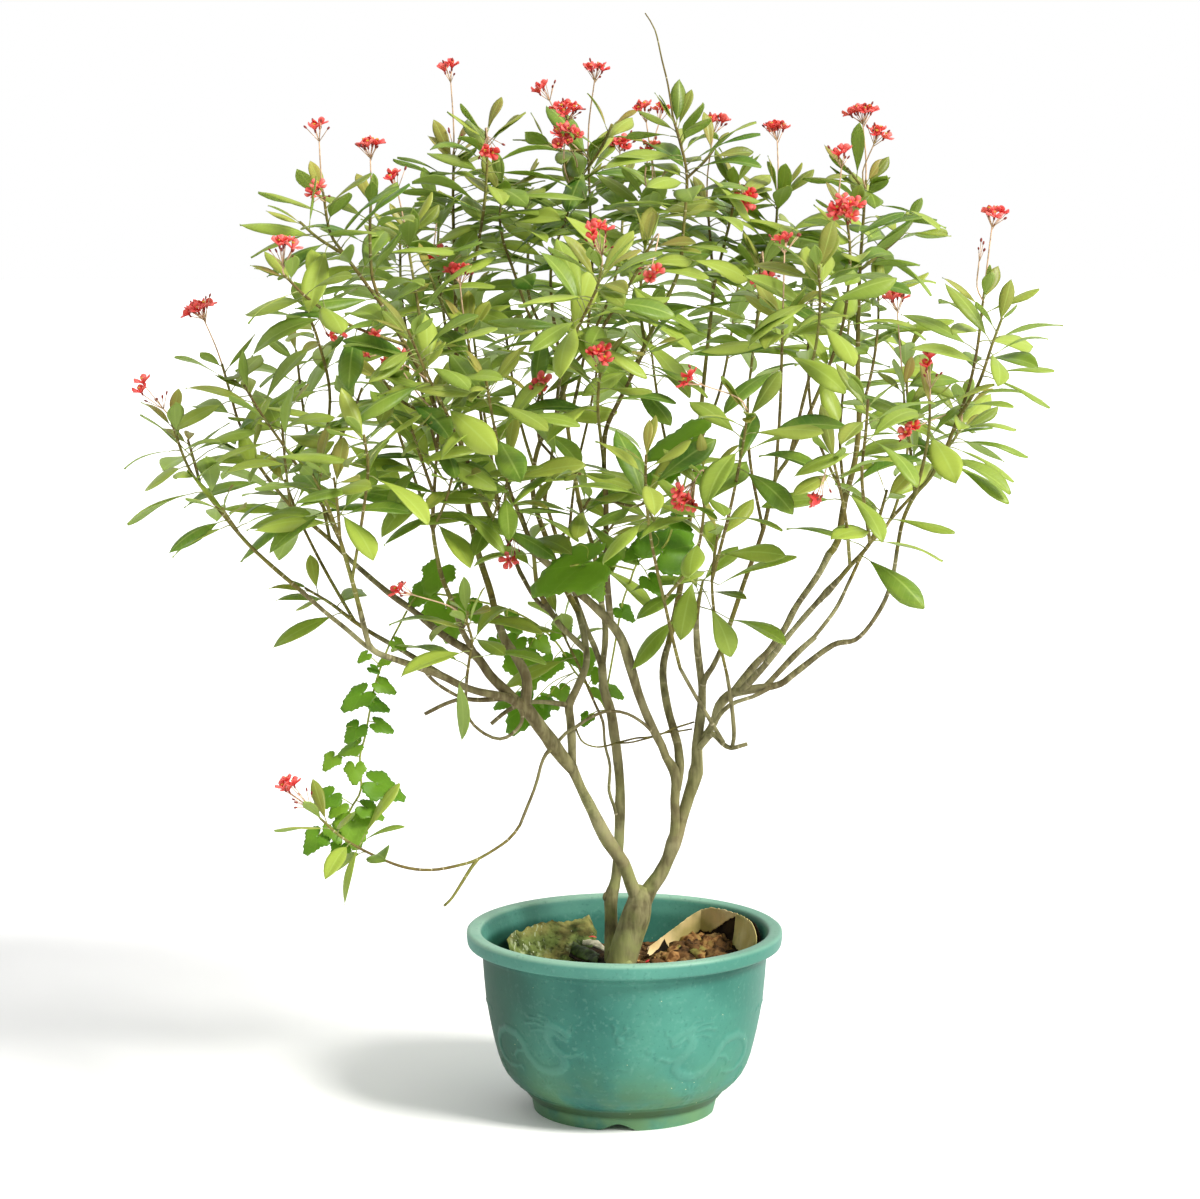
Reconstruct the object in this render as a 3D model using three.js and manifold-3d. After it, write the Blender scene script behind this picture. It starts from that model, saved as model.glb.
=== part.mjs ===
// A potted jatropha: a round plastic pot of soil that holds a many-stemmed flowering shrub with a wild vine.
// Millimetres, +Z up. The origin is on the pot's axis, on the flat underside, and the front faces -Y.

import * as THREE from 'three';
import { mergeVertices } from 'three/addons/utils/BufferGeometryUtils.js';
import Module from 'manifold-3d';

const wasm = await Module();
wasm.setup();

// Driving dimensions
const POT_HEIGHT = 324;
const RIM_RADIUS = 280;
const RIM_BAND = 26;
const MOUTH_RADIUS = 255;
const FOOT_RADIUS = 166;
const FOOT_HEIGHT = 24;
const FLOOR_THICKNESS = 16;
const WALL = 6;
const SOIL_LEVEL = 226;
const LEAF_LENGTH = 122;
const LEAF_WIDTH = 42;
const PETIOLE = 26;
const FLOWER_RADIUS = 14;
const GAP = 0.3;
const GOLDEN_ANGLE = (137.5 * Math.PI) / 180;

const POT_SIDES = 30;
const SOIL_SIDES = 15;

// The front view: a camera this far in front of the pot's axis and this high, tilted down.
// Places on the plant are noted as [across, down, depth]: the first two are read off the front view in its
// own steps, and depth is in millimetres behind the pot's axis. The crown spreads in depth above the boughs.
const VIEW = {
  distance: 6000,
  height: 1761,
  aside: -43.4,
  tilt: (8.06 * Math.PI) / 180,
  focal: 3464,
  centre: [600, 599.5],
};

const CROWN_SPREAD = { extra: 0.6, from: 760, over: 260 };

function place([across, down, flatDepth]) {
  const inCrown = THREE.MathUtils.clamp((CROWN_SPREAD.from - down) / CROWN_SPREAD.over, 0, 1);
  const depth = flatDepth * (1 + CROWN_SPREAD.extra * inCrown);
  const right = (across - VIEW.centre[0]) / VIEW.focal;
  const up = (VIEW.centre[1] - down) / VIEW.focal;
  const forward = Math.cos(VIEW.tilt) + up * Math.sin(VIEW.tilt);
  const rise = up * Math.cos(VIEW.tilt) - Math.sin(VIEW.tilt);
  const reach = (VIEW.distance + depth) / forward;
  return new THREE.Vector3(VIEW.aside + right * reach, depth, VIEW.height + rise * reach);
}

// Seeded draws, so that the plant grows the same way every time
function seeded(seed) {
  let state = (seed * 7919) % 2147483647;
  return () => {
    state = (state * 16807) % 2147483647;
    return state / 2147483647;
  };
}

// Closed solids
function solidOf(geometry) {
  const mesh = new wasm.Mesh({
    numProp: 3,
    vertProperties: new Float32Array(geometry.getAttribute('position').array),
    triVerts: new Uint32Array(geometry.getIndex().array),
  });
  return new wasm.Manifold(mesh);
}

function shapeOf(vertices, faces) {
  const geometry = new THREE.BufferGeometry();
  const flat = vertices.flatMap((v) => [v.x, v.y, v.z]);
  geometry.setAttribute('position', new THREE.Float32BufferAttribute(flat, 3));
  geometry.setIndex(faces.flat());
  return geometry;
}

function joined(solids) {
  return solids.reduce((whole, next) => whole.add(next));
}

// The largest body alone: loose scraps go and sealed pockets are filled
function largestBody(solid) {
  const bodies = solid.decompose();
  return bodies.reduce((best, body) => (body.volume() > best.volume() ? body : best));
}

// A tube through a row of points with a radius at each, closed at both ends
function tube(points, radii, sides) {
  const vertices = [];
  const faces = [];
  let across = new THREE.Vector3(0.31, -0.93, 0.2);
  points.forEach((point, i) => {
    const before = points[Math.max(i - 1, 0)];
    const after = points[Math.min(i + 1, points.length - 1)];
    const along = after.clone().sub(before).normalize();
    across = across.clone().addScaledVector(along, -across.dot(along)).normalize();
    const other = along.clone().cross(across);
    for (let k = 0; k < sides; k += 1) {
      const angle = (k / sides) * 2 * Math.PI;
      const corner = point.clone();
      corner.addScaledVector(across, radii[i] * Math.cos(angle));
      corner.addScaledVector(other, radii[i] * Math.sin(angle));
      vertices.push(corner);
    }
  });
  for (let i = 0; i + 1 < points.length; i += 1) {
    for (let k = 0; k < sides; k += 1) {
      const a = i * sides + k;
      const b = i * sides + ((k + 1) % sides);
      faces.push([a, b, b + sides], [a, b + sides, a + sides]);
    }
  }
  const last = (points.length - 1) * sides;
  for (let k = 1; k + 1 < sides; k += 1) {
    faces.push([0, k + 1, k], [last, last + k, last + k + 1]);
  }
  return shapeOf(vertices, faces);
}

function sidesFor(radius) {
  if (radius > 12) return 7;
  if (radius > 8.5) return 5;
  if (radius > 4.6) return 4;
  return 3;
}

// Stations that a straight run between their neighbours passes close to are left out, except those that
// something forks from
const STRAIGHT_WITHIN = 8.5;

function keptStations(points, forks = []) {
  const kept = [0];
  let from = 0;
  for (let to = 2; to < points.length; to += 1) {
    const run = new THREE.Line3(points[from], points[to]);
    const bulges = points.slice(from + 1, to).some((point) => {
      return run.closestPointToPoint(point, true, new THREE.Vector3()).distanceTo(point) > STRAIGHT_WITHIN;
    });
    if (bulges || forks[to - 1]) {
      kept.push(to - 1);
      from = to - 1;
    }
  }
  return [...kept, points.length - 1];
}

// A bare branch is a list of [across, down, depth, radius]
function branchPath(stations) {
  const places = stations.map(place);
  const kept = keptStations(places);
  return { points: kept.map((k) => places[k]), radii: kept.map((k) => stations[k][3]) };
}

function branchSolid(stations) {
  const { points, radii } = branchPath(stations);
  return solidOf(tube(points, radii, sidesFor(Math.max(...radii))));
}

// A leafy stem is a list of [across, down, depth] that narrows evenly from its foot to its tip
function stemPath(stations, footRadius, tipRadius) {
  const places = stations.map(place);
  const forks = stations.map((station) => FORKS.has(String(station)));
  const points = keptStations(places, forks).map((k) => places[k]);
  const lengths = [0];
  for (let i = 1; i < points.length; i += 1) {
    lengths.push(lengths[i - 1] + points[i].distanceTo(points[i - 1]));
  }
  const total = lengths[lengths.length - 1];
  const radii = lengths.map((length) => THREE.MathUtils.lerp(footRadius, tipRadius, length / total));
  return { points, lengths, radii, total };
}

function pointAlong(path, length) {
  let i = 1;
  while (i < path.points.length - 1 && path.lengths[i] < length) i += 1;
  const share = (length - path.lengths[i - 1]) / (path.lengths[i] - path.lengths[i - 1]);
  const point = path.points[i - 1].clone().lerp(path.points[i], share);
  const along = path.points[i].clone().sub(path.points[i - 1]).normalize();
  return { point, along };
}

// Leaves face up and a little outward from the plant, most of all towards the front
const FACE_OUTWARD = 0.28;
const FACE_FROM = new THREE.Vector3(0, 300, 0);

function facingAt(spot) {
  const outward = spot.clone().sub(FACE_FROM).setZ(0).normalize();
  return outward.multiplyScalar(FACE_OUTWARD).setZ(1);
}

// A leaf: a drooping blade on a short stalk that starts from a point in the stem. Each station across it has
// a left edge, a right edge and a keel below them.
const BLADE = [
  { at: 0.36, half: 0.92, keel: 3.4 },
  { at: 0.74, half: 0.8, keel: 2.8 },
];
const STALK_HALF = 1.5;
const STALK_KEEL = 2.6;

function leafSolid(leaf, spread = 0, bladeOnly = false) {
  const { root, foot, heading, length, width, droop, roll } = leaf;
  const level = heading.clone().cross(facingAt(root)).normalize().applyAxisAngle(heading, roll);
  const here = foot.clone();
  const way = heading.clone();
  const vertices = [];
  const faces = [];
  const ring = (half, keel) => {
    const lift = level.clone().cross(way);
    vertices.push(here.clone().addScaledVector(level, -half - spread).addScaledVector(lift, spread));
    vertices.push(here.clone().addScaledVector(level, half + spread).addScaledVector(lift, spread));
    vertices.push(here.clone().addScaledVector(lift, -keel - spread));
  };
  const advance = (share) => {
    way.applyAxisAngle(level, -droop * share);
    here.addScaledVector(way, length * share);
  };
  ring(STALK_HALF, STALK_KEEL);
  let reached = 0;
  for (const { at, half, keel } of BLADE) {
    advance(at - reached);
    reached = at;
    ring((width / 2) * half, keel);
    const first = vertices.length - 6;
    const [l0, r0, k0, l1, r1, k1] = [0, 1, 2, 3, 4, 5].map((k) => first + k);
    faces.push([l0, r0, r1], [l0, r1, l1], [r0, k0, k1], [r0, k1, r1], [k0, l0, l1], [k0, l1, k1]);
  }
  advance(1 - reached);
  vertices.push(here.clone());
  const tip = vertices.length - 1;
  faces.push([tip - 3, tip - 2, tip], [tip - 2, tip - 1, tip], [tip - 1, tip - 3, tip]);
  if (bladeOnly) {
    faces.push([0, 2, 1]);
  } else {
    vertices.push(root.clone().add(root.clone().sub(foot).normalize()));
    faces.push([0, tip + 1, 1], [1, tip + 1, 2], [2, tip + 1, 0]);
  }
  return solidOf(shapeOf(vertices, faces));
}

// The bare wood: branches as lists of [across, down, depth, radius]. The trunk and the middle stem share one
// crown of roots in the soil, and the rest fork from them.
const WOOD = {
  trunk: [
    [614, 1012, 0, 28], [617, 985, 0, 27], [621, 964, 0, 25.5], [631, 932, 0, 24], [638, 910, 0, 24.5],
    [641, 893, 2, 20], [643, 886, 3, 12],
  ],
  middle_stem: [
    [617, 1000, 12, 11], [611, 964, 30, 11], [611, 930, 42, 11], [611, 912, 46, 11], [611, 896, 48, 12.5],
    [616, 879, 50, 9.5], [619, 841, 50, 9.3], [620, 806, 52, 8.8], [620, 782, 52, 8.6],
    [617, 752, 52, 8.8], [614, 734, 54, 8.5], [611, 712, 56, 8.7], [604, 690, 58, 8], [602, 663, 60, 7],
  ],
  main_left: [
    [641, 903, -2, 16], [633, 888, -4, 13], [626, 869, -10, 11.5], [620, 858, -15, 12],
    [609, 842, -24, 12.2], [599, 824, -34, 11.4], [590, 806, -43, 9.6], [581, 788, -50, 9],
    [576, 777, -54, 9.6], [571, 766, -56, 10.5],
  ],
  low_left: [
    [573, 770, -55, 11], [563, 758, -62, 12], [554, 746, -70, 13], [541, 728, -85, 12.6],
    [527, 710, -98, 11.5], [515, 700, -106, 8],
  ],
  left_bough: [
    [522, 706, -102, 8], [505, 697, -112, 7.5], [480, 692, -130, 7], [460, 685, -140, 6.5],
    [440, 675, -150, 6.5], [400, 661, -165, 5.6], [373, 650, -175, 5.2], [365, 630, -180, 4.8],
    [360, 610, -185, 4.5],
  ],
  left_rise: [
    [520, 704, -102, 9], [505, 690, -98, 8.5], [490, 675, -90, 8.3], [475, 655, -80, 7.8],
    [447, 638, -62, 6.5], [415, 612, -40, 5.5], [385, 590, -22, 5], [350, 560, 0, 4.4],
  ],
  left_upright: [[478, 659, -82, 5.5], [462, 630, -76, 4.9], [455, 608, -72, 4.6]],
  grey_stem: [
    [524, 707, -100, 9.5], [527, 680, -95, 9], [515, 655, -85, 8.2], [505, 640, -75, 7.5],
    [497, 620, -62, 6.5],
  ],
  mid_left: [
    [572, 770, -55, 8.6], [572, 748, -45, 7.3], [571, 730, -34, 7.2], [570, 717, -26, 7.5],
    [569, 705, -20, 8.2], [575, 692, -14, 6.7], [580, 681, -9, 6.4], [584, 672, -4, 6.3],
    [587, 658, 3, 6.2], [583, 630, 14, 6], [578, 612, 20, 5.6],
  ],
  brown_stem: [[586, 650, 8, 5.6], [570, 635, 5, 5.4], [560, 625, 0, 5.2], [545, 603, -8, 4.8]],
  grey_twig: [[551, 612, -5, 4.4], [535, 598, 14, 4.2], [520, 572, 30, 4]],
  far_left: [
    [377, 652, -173, 4.8], [365, 645, -170, 4.4], [345, 628, -160, 4], [325, 612, -150, 3.8],
    [300, 590, -140, 3.8],
  ],
  second_left: [[442, 675, -148, 5], [410, 655, -120, 4.4], [375, 635, -85, 4]],
  cut_stub: [
    [568, 705, -20, 5], [545, 702, -38, 4.3], [525, 703, -55, 4.3], [507, 711, -72, 3.7],
    [491, 724, -80, 3.5],
  ],
  arch: [
    [556, 744, -58, 3.2], [566, 733, -50, 2.9], [576, 727, -46, 2.9], [586, 720, -46, 2.8],
    [600, 713, -46, 2.8], [613, 711, -42, 2.8], [628, 714, -36, 2.8], [643, 723, -26, 2.8],
    [654, 734, -12, 2.9],
  ],
  low_stub: [
    [507, 698, -111, 5], [480, 700, -100, 4.2], [462, 699, -90, 3.8], [445, 704, -82, 3.6],
    [425, 714, -75, 3.2],
  ],
  strut: [[422, 668, -157, 3.2], [435, 682, -138, 3], [450, 692, -115, 3], [464, 699, -91, 3]],
  loop: [
    [518, 704, -104, 4.2], [522, 714, -111, 3.2], [521, 724, -116, 2.9], [512, 734, -120, 2.8],
    [500, 739, -124, 2.8], [485, 734, -132, 2.8], [470, 720, -142, 2.7], [466, 700, -156, 2.7],
    [467, 676, -166, 2.7],
  ],
  sag: [
    [555, 746, -72, 5.5], [546, 754, -84, 3.6], [541, 765, -96, 2.9], [538, 777, -104, 2.8],
    [534, 790, -112, 2.7], [528, 805, -125, 2.6], [520, 825, -140, 2.6],
  ],
  back_stem: [[602, 668, 60, 5.6], [595, 648, 68, 5.2], [588, 632, 78, 4.8], [578, 605, 95, 4.4]],
  crown_stem: [
    [602, 668, 60, 6], [605, 645, 62, 5.6], [605, 625, 66, 5.2], [601, 600, 72, 5], [597, 568, 82, 4.6],
  ],
  thin_twig: [
    [619, 826, 50, 3.6], [614, 806, 42, 2.8], [609, 791, 38, 3], [610, 766, 34, 2.6], [605, 745, 30, 2.5],
    [603, 722, 26, 2.5], [597, 708, 18, 2.5],
  ],
  main_right: [
    [641, 906, 2, 18], [650, 888, 5, 14], [659, 876, 8, 12.4], [668, 858, 11, 12], [673, 844, 13, 13.2],
    [679, 827, 16, 11.4], [684, 811, 20, 10.4], [689, 795, 23, 10.8], [694, 782, 26, 11.6],
    [696, 773, 28, 13.4], [697, 763, 29, 10.8], [697, 750, 31, 10.2], [698, 738, 32, 9.4],
    [699, 728, 33, 9], [701, 710, 34, 8.6], [702, 690, 34, 7.3], [700, 670, 28, 6.5], [697, 645, 12, 6],
    [696, 618, -12, 5.4],
  ],
  cross_stem: [
    [671, 848, 10, 8], [675, 828, 4, 8.6], [675, 800, -4, 8.2], [676, 784, -6, 8.6], [674, 770, -6, 9.6],
    [666, 757, -8, 7.6], [662, 746, -9, 7.4], [653, 729, -12, 7.6], [640, 698, -25, 7.8],
    [630, 665, -38, 8.6], [622, 640, -46, 8.5], [608, 620, -52, 8], [590, 602, -56, 7.4],
    [572, 587, -58, 6.8], [555, 570, -60, 6.2], [535, 553, -62, 5.6],
  ],
  dark_upright: [[611, 624, -50, 6.2], [607, 580, -52, 5.6], [606, 540, -54, 5]],
  right_inner: [
    [677, 790, -4, 7], [679, 778, 0, 7.4], [680, 766, 4, 7.6], [679, 757, 9, 8], [678, 746, 16, 7.2],
    [674, 731, 32, 7.2], [667, 705, 56, 7.3], [663, 678, 78, 7], [664, 660, 86, 6.5], [668, 645, 92, 6],
  ],
  right_fork: [[702, 696, 34, 6.4], [704, 680, 28, 5.8], [712, 668, 20, 5.2], [720, 652, 12, 4.7]],
  right_bough: [
    [698, 740, 32, 8], [707, 733, 27, 6.6], [714, 722, 20, 7.4], [719, 706, 14, 8.4], [728, 696, 12, 8.6],
    [738, 690, 6, 8],
  ],
  outer_right: [
    [733, 693, 9, 8], [760, 688, 0, 7.4], [780, 684, -8, 6.4], [795, 673, -14, 5.6], [825, 650, -26, 5.4],
    [838, 643, -32, 4.8], [855, 640, -38, 4.2], [870, 625, -44, 3.9], [885, 600, -52, 3.8],
    [893, 575, -58, 3.8], [897, 550, -64, 3.8],
  ],
  knotted_right: [
    [733, 693, 11, 7.4], [755, 665, 40, 6.6], [770, 650, 60, 6.3], [785, 628, 80, 6], [797, 605, 98, 5.8],
    [818, 575, 120, 5.6], [829, 554, 130, 6.6],
  ],
  low_right: [
    [742, 690, 2, 6.4], [765, 665, -30, 5.6], [785, 640, -55, 5], [800, 622, -72, 4.6],
    [815, 605, -86, 4.6], [827, 592, -96, 6.6], [840, 578, -106, 4.4],
  ],
  cut_right: [[765, 687, -2, 5.6], [795, 655, 25, 5.2], [815, 637, 42, 5]],
  thin_right: [
    [811, 641, 38, 3.8], [835, 610, 60, 3.4], [850, 580, 78, 3.2],
  ],
  hooked_stub: [
    [698, 749, 30, 6.6], [704, 742, 14, 6.2], [713, 734, -4, 5], [722, 743, -14, 4.6],
    [731, 748, -20, 4.4], [747, 744, -28, 3.8],
  ],
  light_branch: [
    [700, 748, 27, 5], [712, 728, 8, 4.2], [723, 711, -6, 4], [736, 702, -12, 3.8], [752, 697, -14, 3.6],
    [772, 687, -8, 3.4],
  ],
  hanging_twig: [[723, 742, -14, 4], [710, 720, -45, 3.6], [695, 695, -65, 3.4], [680, 668, -80, 3.2]],
  rising_twig: [[732, 748, -20, 4], [734, 733, -32, 3.6], [731, 700, -45, 3.4], [727, 675, -54, 3.2]],
};

// Leafy sprays. Each grows on from the end of a bare branch. A shoot's path is a list of [across, down,
// depth]. The first shoot starts at that branch's end, the others fork from a place on it. leaves is how many it
// bears in full, and a bloom is the place of its middle and its number of flowers.
const SPRAYS = {
  far_left: [
    {
      path: [[265, 560, -125], [240, 535, -115], [200, 485, -100], [185, 460, -94], [171, 420, -90]],
      leaves: 13,
      blooms: [[[150, 378, -100], 1]],
    },
    { path: [[240, 535, -115], [230, 520, -140], [222, 508, -155]], leaves: 6 },
    { path: [[200, 485, -100], [196, 468, -60], [188, 440, -20]], leaves: 6 },
  ],
  second_left: [
    { path: [[355, 622, -65], [330, 603, -45], [305, 588, -30]], leaves: 7 },
    { path: [[355, 622, -65], [325, 570, -10], [300, 520, 40], [285, 480, 80]], leaves: 9 },
  ],
  left_bough: [
    { path: [[352, 580, -195], [340, 540, -210], [325, 500, -225], [310, 470, -240]], leaves: 9 },
    {
      path: [[340, 540, -210], [322, 505, -170], [290, 455, -140], [262, 415, -115], [244, 385, -100]],
      leaves: 12,
    },
    { path: [[340, 540, -210], [338, 510, -240], [334, 478, -270]], leaves: 9 },
    { path: [[352, 580, -195], [362, 520, -230], [368, 470, -265], [364, 435, -290]], leaves: 9 },
  ],
  left_rise: [
    { path: [[330, 540, 12], [290, 505, 30], [270, 480, 42], [246, 452, 52]], leaves: 11 },
    {
      path: [[290, 505, 30], [262, 470, 5], [240, 425, -25], [230, 392, -40], [222, 364, -48]],
      leaves: 10,
      blooms: [[[198, 305, -60], 4]],
    },
    { path: [[330, 540, 12], [318, 480, 60], [305, 420, 110], [296, 350, 150]], leaves: 13 },
    {
      path: [[318, 480, 60], [330, 400, 60], [318, 340, 55], [304, 306, 50]],
      leaves: 12,
      blooms: [[[342, 322, 30], 1]],
    },
  ],
  left_upright: [
    {
      path: [
        [447, 590, -70], [440, 570, -74], [433, 530, -84], [434, 495, -98], [437, 450, -118],
        [440, 405, -135],
      ],
      leaves: 14,
      blooms: [[[368, 341, -175], 4], [[391, 357, -150], 2]],
    },
    { path: [[433, 530, -84], [415, 480, -60], [398, 430, -30], [392, 398, -10]], leaves: 11 },
    { path: [[434, 495, -98], [420, 455, -150], [412, 430, -185]], leaves: 10 },
  ],
  grey_stem: [
    {
      path: [
        [490, 590, -42], [478, 552, -20], [468, 505, 10], [462, 455, 35], [458, 395, 60], [456, 330, 80],
        [455, 270, 95], [453, 205, 105], [454, 152, 110],
      ],
      leaves: 18,
      blooms: [[[450, 66, 90], 1], [[455, 117, 106], 0]],
    },
    {
      path: [[456, 330, 80], [470, 280, 60], [482, 222, 48], [487, 168, 40], [486, 128, 35]],
      leaves: 14,
      blooms: [[[489, 140, 5], 1]],
    },
    { path: [[468, 505, 10], [440, 440, 90], [415, 370, 160], [402, 300, 205], [400, 240, 230]], leaves: 14 },
    {
      path: [[458, 395, 60], [446, 330, 130], [438, 262, 190], [440, 205, 225]],
      leaves: 12,
      blooms: [[[433, 252, 120], 1]],
    },
  ],
  brown_stem: [
    {
      path: [[537, 585, -16], [533, 550, -26], [527, 530, -34], [521, 512, -40]],
      leaves: 9,
      blooms: [[[505, 557, -70], 1]],
    },
    { path: [[533, 550, -26], [510, 490, -120], [495, 430, -200], [486, 380, -250]], leaves: 12 },
  ],
  grey_twig: [
    {
      path: [[512, 552, 40], [500, 515, 30], [487, 455, 5], [477, 390, -15], [465, 325, -30]],
      leaves: 13,
      blooms: [[[458, 268, -40], 3]],
    },
    {
      path: [[500, 515, 30], [492, 460, 130], [482, 400, 210], [474, 340, 260], [470, 300, 290]],
      leaves: 12,
    },
  ],
  mid_left: [
    {
      path: [
        [563, 583, 30], [550, 548, 22], [535, 505, 10], [533, 475, 2], [540, 442, -8], [556, 415, -20],
        [572, 368, -40], [592, 345, -52], [606, 322, -62], [632, 280, -78], [653, 240, -90],
      ],
      leaves: 16,
      blooms: [[[652, 270, -190], 1]],
    },
    {
      path: [
        [540, 442, -8], [542, 400, 20], [538, 340, 45], [525, 305, 55], [515, 275, 60], [503, 240, 62],
        [500, 215, 62], [504, 182, 60],
      ],
      leaves: 15,
    },
    {
      path: [[556, 415, -20], [560, 380, -110], [575, 335, -190], [596, 290, -240], [602, 265, -255]],
      leaves: 13,
      blooms: [[[600, 224, -270], 3]],
    },
    { path: [[540, 442, -8], [536, 415, -60], [540, 392, -90]], leaves: 9, blooms: [[[539, 381, -150], 1]] },
  ],
  back_stem: [
    { path: [[566, 568, 120], [545, 500, 190], [520, 420, 260], [505, 330, 310]], leaves: 13 },
    { path: [[545, 500, 190], [560, 400, 280], [572, 320, 330], [580, 260, 350]], leaves: 13 },
    { path: [[566, 568, 120], [575, 480, 240], [590, 410, 330], [600, 350, 390]], leaves: 12 },
  ],
  crown_stem: [
    {
      path: [
        [591, 540, 92], [580, 505, 104], [568, 430, 130], [560, 360, 145], [552, 305, 148],
        [552, 260, 145], [566, 218, 138], [576, 184, 132],
      ],
      leaves: 14,
      blooms: [[[565, 132, 60], 4], [[565, 106, 95], 4]],
    },
    {
      path: [[568, 430, 130], [585, 350, 170], [592, 270, 190], [590, 205, 195], [588, 150, 190]],
      leaves: 14,
      blooms: [[[596, 66, 150], 2], [[541, 87, 190], 1]],
    },
    { path: [[560, 360, 145], [530, 300, 210], [528, 240, 240], [524, 190, 250]], leaves: 12 },
    {
      path: [[585, 350, 170], [612, 290, 240], [622, 230, 270], [620, 185, 280]],
      leaves: 12,
      blooms: [[[620, 139, 240], 2]],
    },
  ],
  thin_twig: [
    { path: [[589, 690, 24], [580, 668, 36], [566, 640, 46], [556, 614, 46]], leaves: 7 },
  ],
  cross_stem: [
    {
      path: [
        [515, 538, -64], [500, 530, -68], [488, 510, -74], [475, 480, -84], [455, 445, -96],
        [440, 420, -104], [425, 380, -112], [405, 345, -118], [385, 310, -122], [345, 255, -128],
        [330, 232, -130], [323, 192, -132],
      ],
      leaves: 15,
      blooms: [[[318, 124, -140], 1], [[312, 178, -165], 1]],
    },
    {
      path: [[385, 310, -122], [373, 280, -110], [370, 240, -100], [371, 198, -92]],
      leaves: 13,
      blooms: [[[370, 141, -85], 3]],
    },
    { path: [[345, 255, -128], [318, 238, -165], [300, 222, -190]], leaves: 11 },
    {
      path: [[405, 345, -118], [350, 325, -180], [310, 300, -215], [284, 275, -235]],
      leaves: 13,
      blooms: [[[282, 240, -245], 2]],
    },
    { path: [[475, 480, -84], [450, 420, -190], [425, 370, -250], [408, 330, -280]], leaves: 13 },
    {
      path: [[425, 380, -112], [420, 320, -60], [412, 270, -30], [405, 228, -15]],
      leaves: 12,
      blooms: [[[394, 174, -20], 1]],
    },
  ],
  dark_upright: [
    {
      path: [
        [606, 500, -58], [604, 465, -62], [606, 430, -66], [622, 395, -60], [645, 345, -42],
        [664, 305, -28], [679, 270, -18], [683, 235, -12], [687, 178, -4], [680, 142, 0], [673, 118, 2],
      ],
      leaves: 16,
      bare: [[668, 85, 4], [662, 60, 5], [655, 30, 6], [645, 13, 6]],
    },
    { path: [[622, 395, -60], [634, 372, -110], [645, 350, -150]], leaves: 9 },
    {
      path: [[604, 465, -62], [598, 410, -150], [600, 372, -190]],
      leaves: 8,
      blooms: [[[600, 343, -210], 2]],
    },
    {
      path: [[645, 345, -42], [640, 300, 30], [646, 240, 70], [652, 195, 90]],
      leaves: 13,
      blooms: [[[645, 106, 80], 1], [[661, 107, 110], 1], [[653, 145, 60], 1]],
    },
  ],
  right_inner: [
    {
      path: [
        [675, 615, 105], [684, 565, 118], [690, 515, 130], [697, 450, 142], [705, 370, 150],
        [713, 290, 152], [711, 250, 150], [707, 200, 146],
      ],
      leaves: 15,
      blooms: [[[715, 118, 150], 3]],
    },
    {
      path: [[713, 290, 152], [724, 245, 130], [732, 212, 120], [736, 180, 112]],
      leaves: 13,
      blooms: [[[748, 184, 70], 2]],
    },
    { path: [[690, 515, 130], [668, 450, 230], [655, 380, 300], [648, 310, 340]], leaves: 11 },
    { path: [[697, 450, 142], [720, 390, 260], [732, 330, 320], [738, 285, 345]], leaves: 11 },
  ],
  main_right: [
    { path: [[699, 600, -34], [703, 580, -52]], leaves: 4 },
  ],
  hanging_twig: [
    {
      path: [[673, 640, -118], [664, 600, -172], [652, 545, -215], [646, 495, -255], [646, 455, -275]],
      leaves: 10,
    },
    {
      path: [[664, 600, -172], [694, 560, -214], [704, 510, -238], [704, 470, -250]],
      leaves: 10,
      blooms: [[[677, 490, -275], 4]],
    },
  ],
  rising_twig: [
    { path: [[716, 625, -78], [712, 580, -92], [717, 540, -104], [718, 528, -108]], leaves: 7 },
    {
      path: [[712, 580, -92], [730, 510, -170], [742, 450, -235], [748, 410, -270]],
      leaves: 11,
      blooms: [[[687, 377, -280], 1]],
    },
  ],
  right_fork: [
    {
      path: [
        [728, 630, 6], [745, 580, -10], [763, 530, -22], [775, 480, -30], [790, 455, -36],
        [815, 400, -46], [840, 335, -54], [848, 290, -58], [850, 250, -60], [846, 212, -62],
      ],
      leaves: 16,
      blooms: [[[845, 190, -110], 4], [[840, 151, -70], 1]],
    },
    {
      path: [[763, 530, -22], [750, 460, 30], [748, 400, 55], [757, 320, 70], [761, 258, 74]],
      leaves: 12,
      blooms: [[[765, 279, -10], 2]],
    },
    {
      path: [[775, 480, -30], [780, 410, -110], [782, 345, -160], [783, 310, -180]],
      leaves: 9,
      blooms: [[[785, 236, -170], 1]],
    },
    {
      path: [[757, 320, 70], [770, 265, 120], [776, 225, 140], [778, 190, 148]],
      leaves: 12,
      blooms: [[[777, 125, 160], 2]],
    },
    { path: [[790, 455, -36], [815, 350, -150], [820, 300, -190], [818, 262, -205]], leaves: 9 },
  ],
  outer_right: [
    {
      path: [
        [903, 520, -74], [915, 495, -84], [930, 478, -88], [945, 450, -94], [957, 420, -98],
        [968, 390, -100], [977, 350, -100], [984, 292, -100],
      ],
      leaves: 18,
      blooms: [[[994, 210, -105], 3], [[978, 247, -130], 0]],
    },
    { path: [[957, 420, -98], [978, 385, -150], [992, 345, -180], [1002, 318, -195]], leaves: 9 },
    {
      path: [[915, 495, -84], [924, 460, -120], [929, 430, -145], [930, 400, -165]],
      leaves: 9,
      blooms: [[[931, 356, -185], 1]],
    },
    {
      path: [[915, 495, -84], [911, 455, -50], [906, 420, -35], [903, 385, -25]],
      leaves: 11,
      blooms: [[[896, 295, -30], 2]],
    },
    { path: [[945, 450, -94], [955, 438, -60], [962, 425, -40]], leaves: 7, blooms: [[[908, 428, -200], 1]] },
  ],
  knotted_right: [
    {
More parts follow.
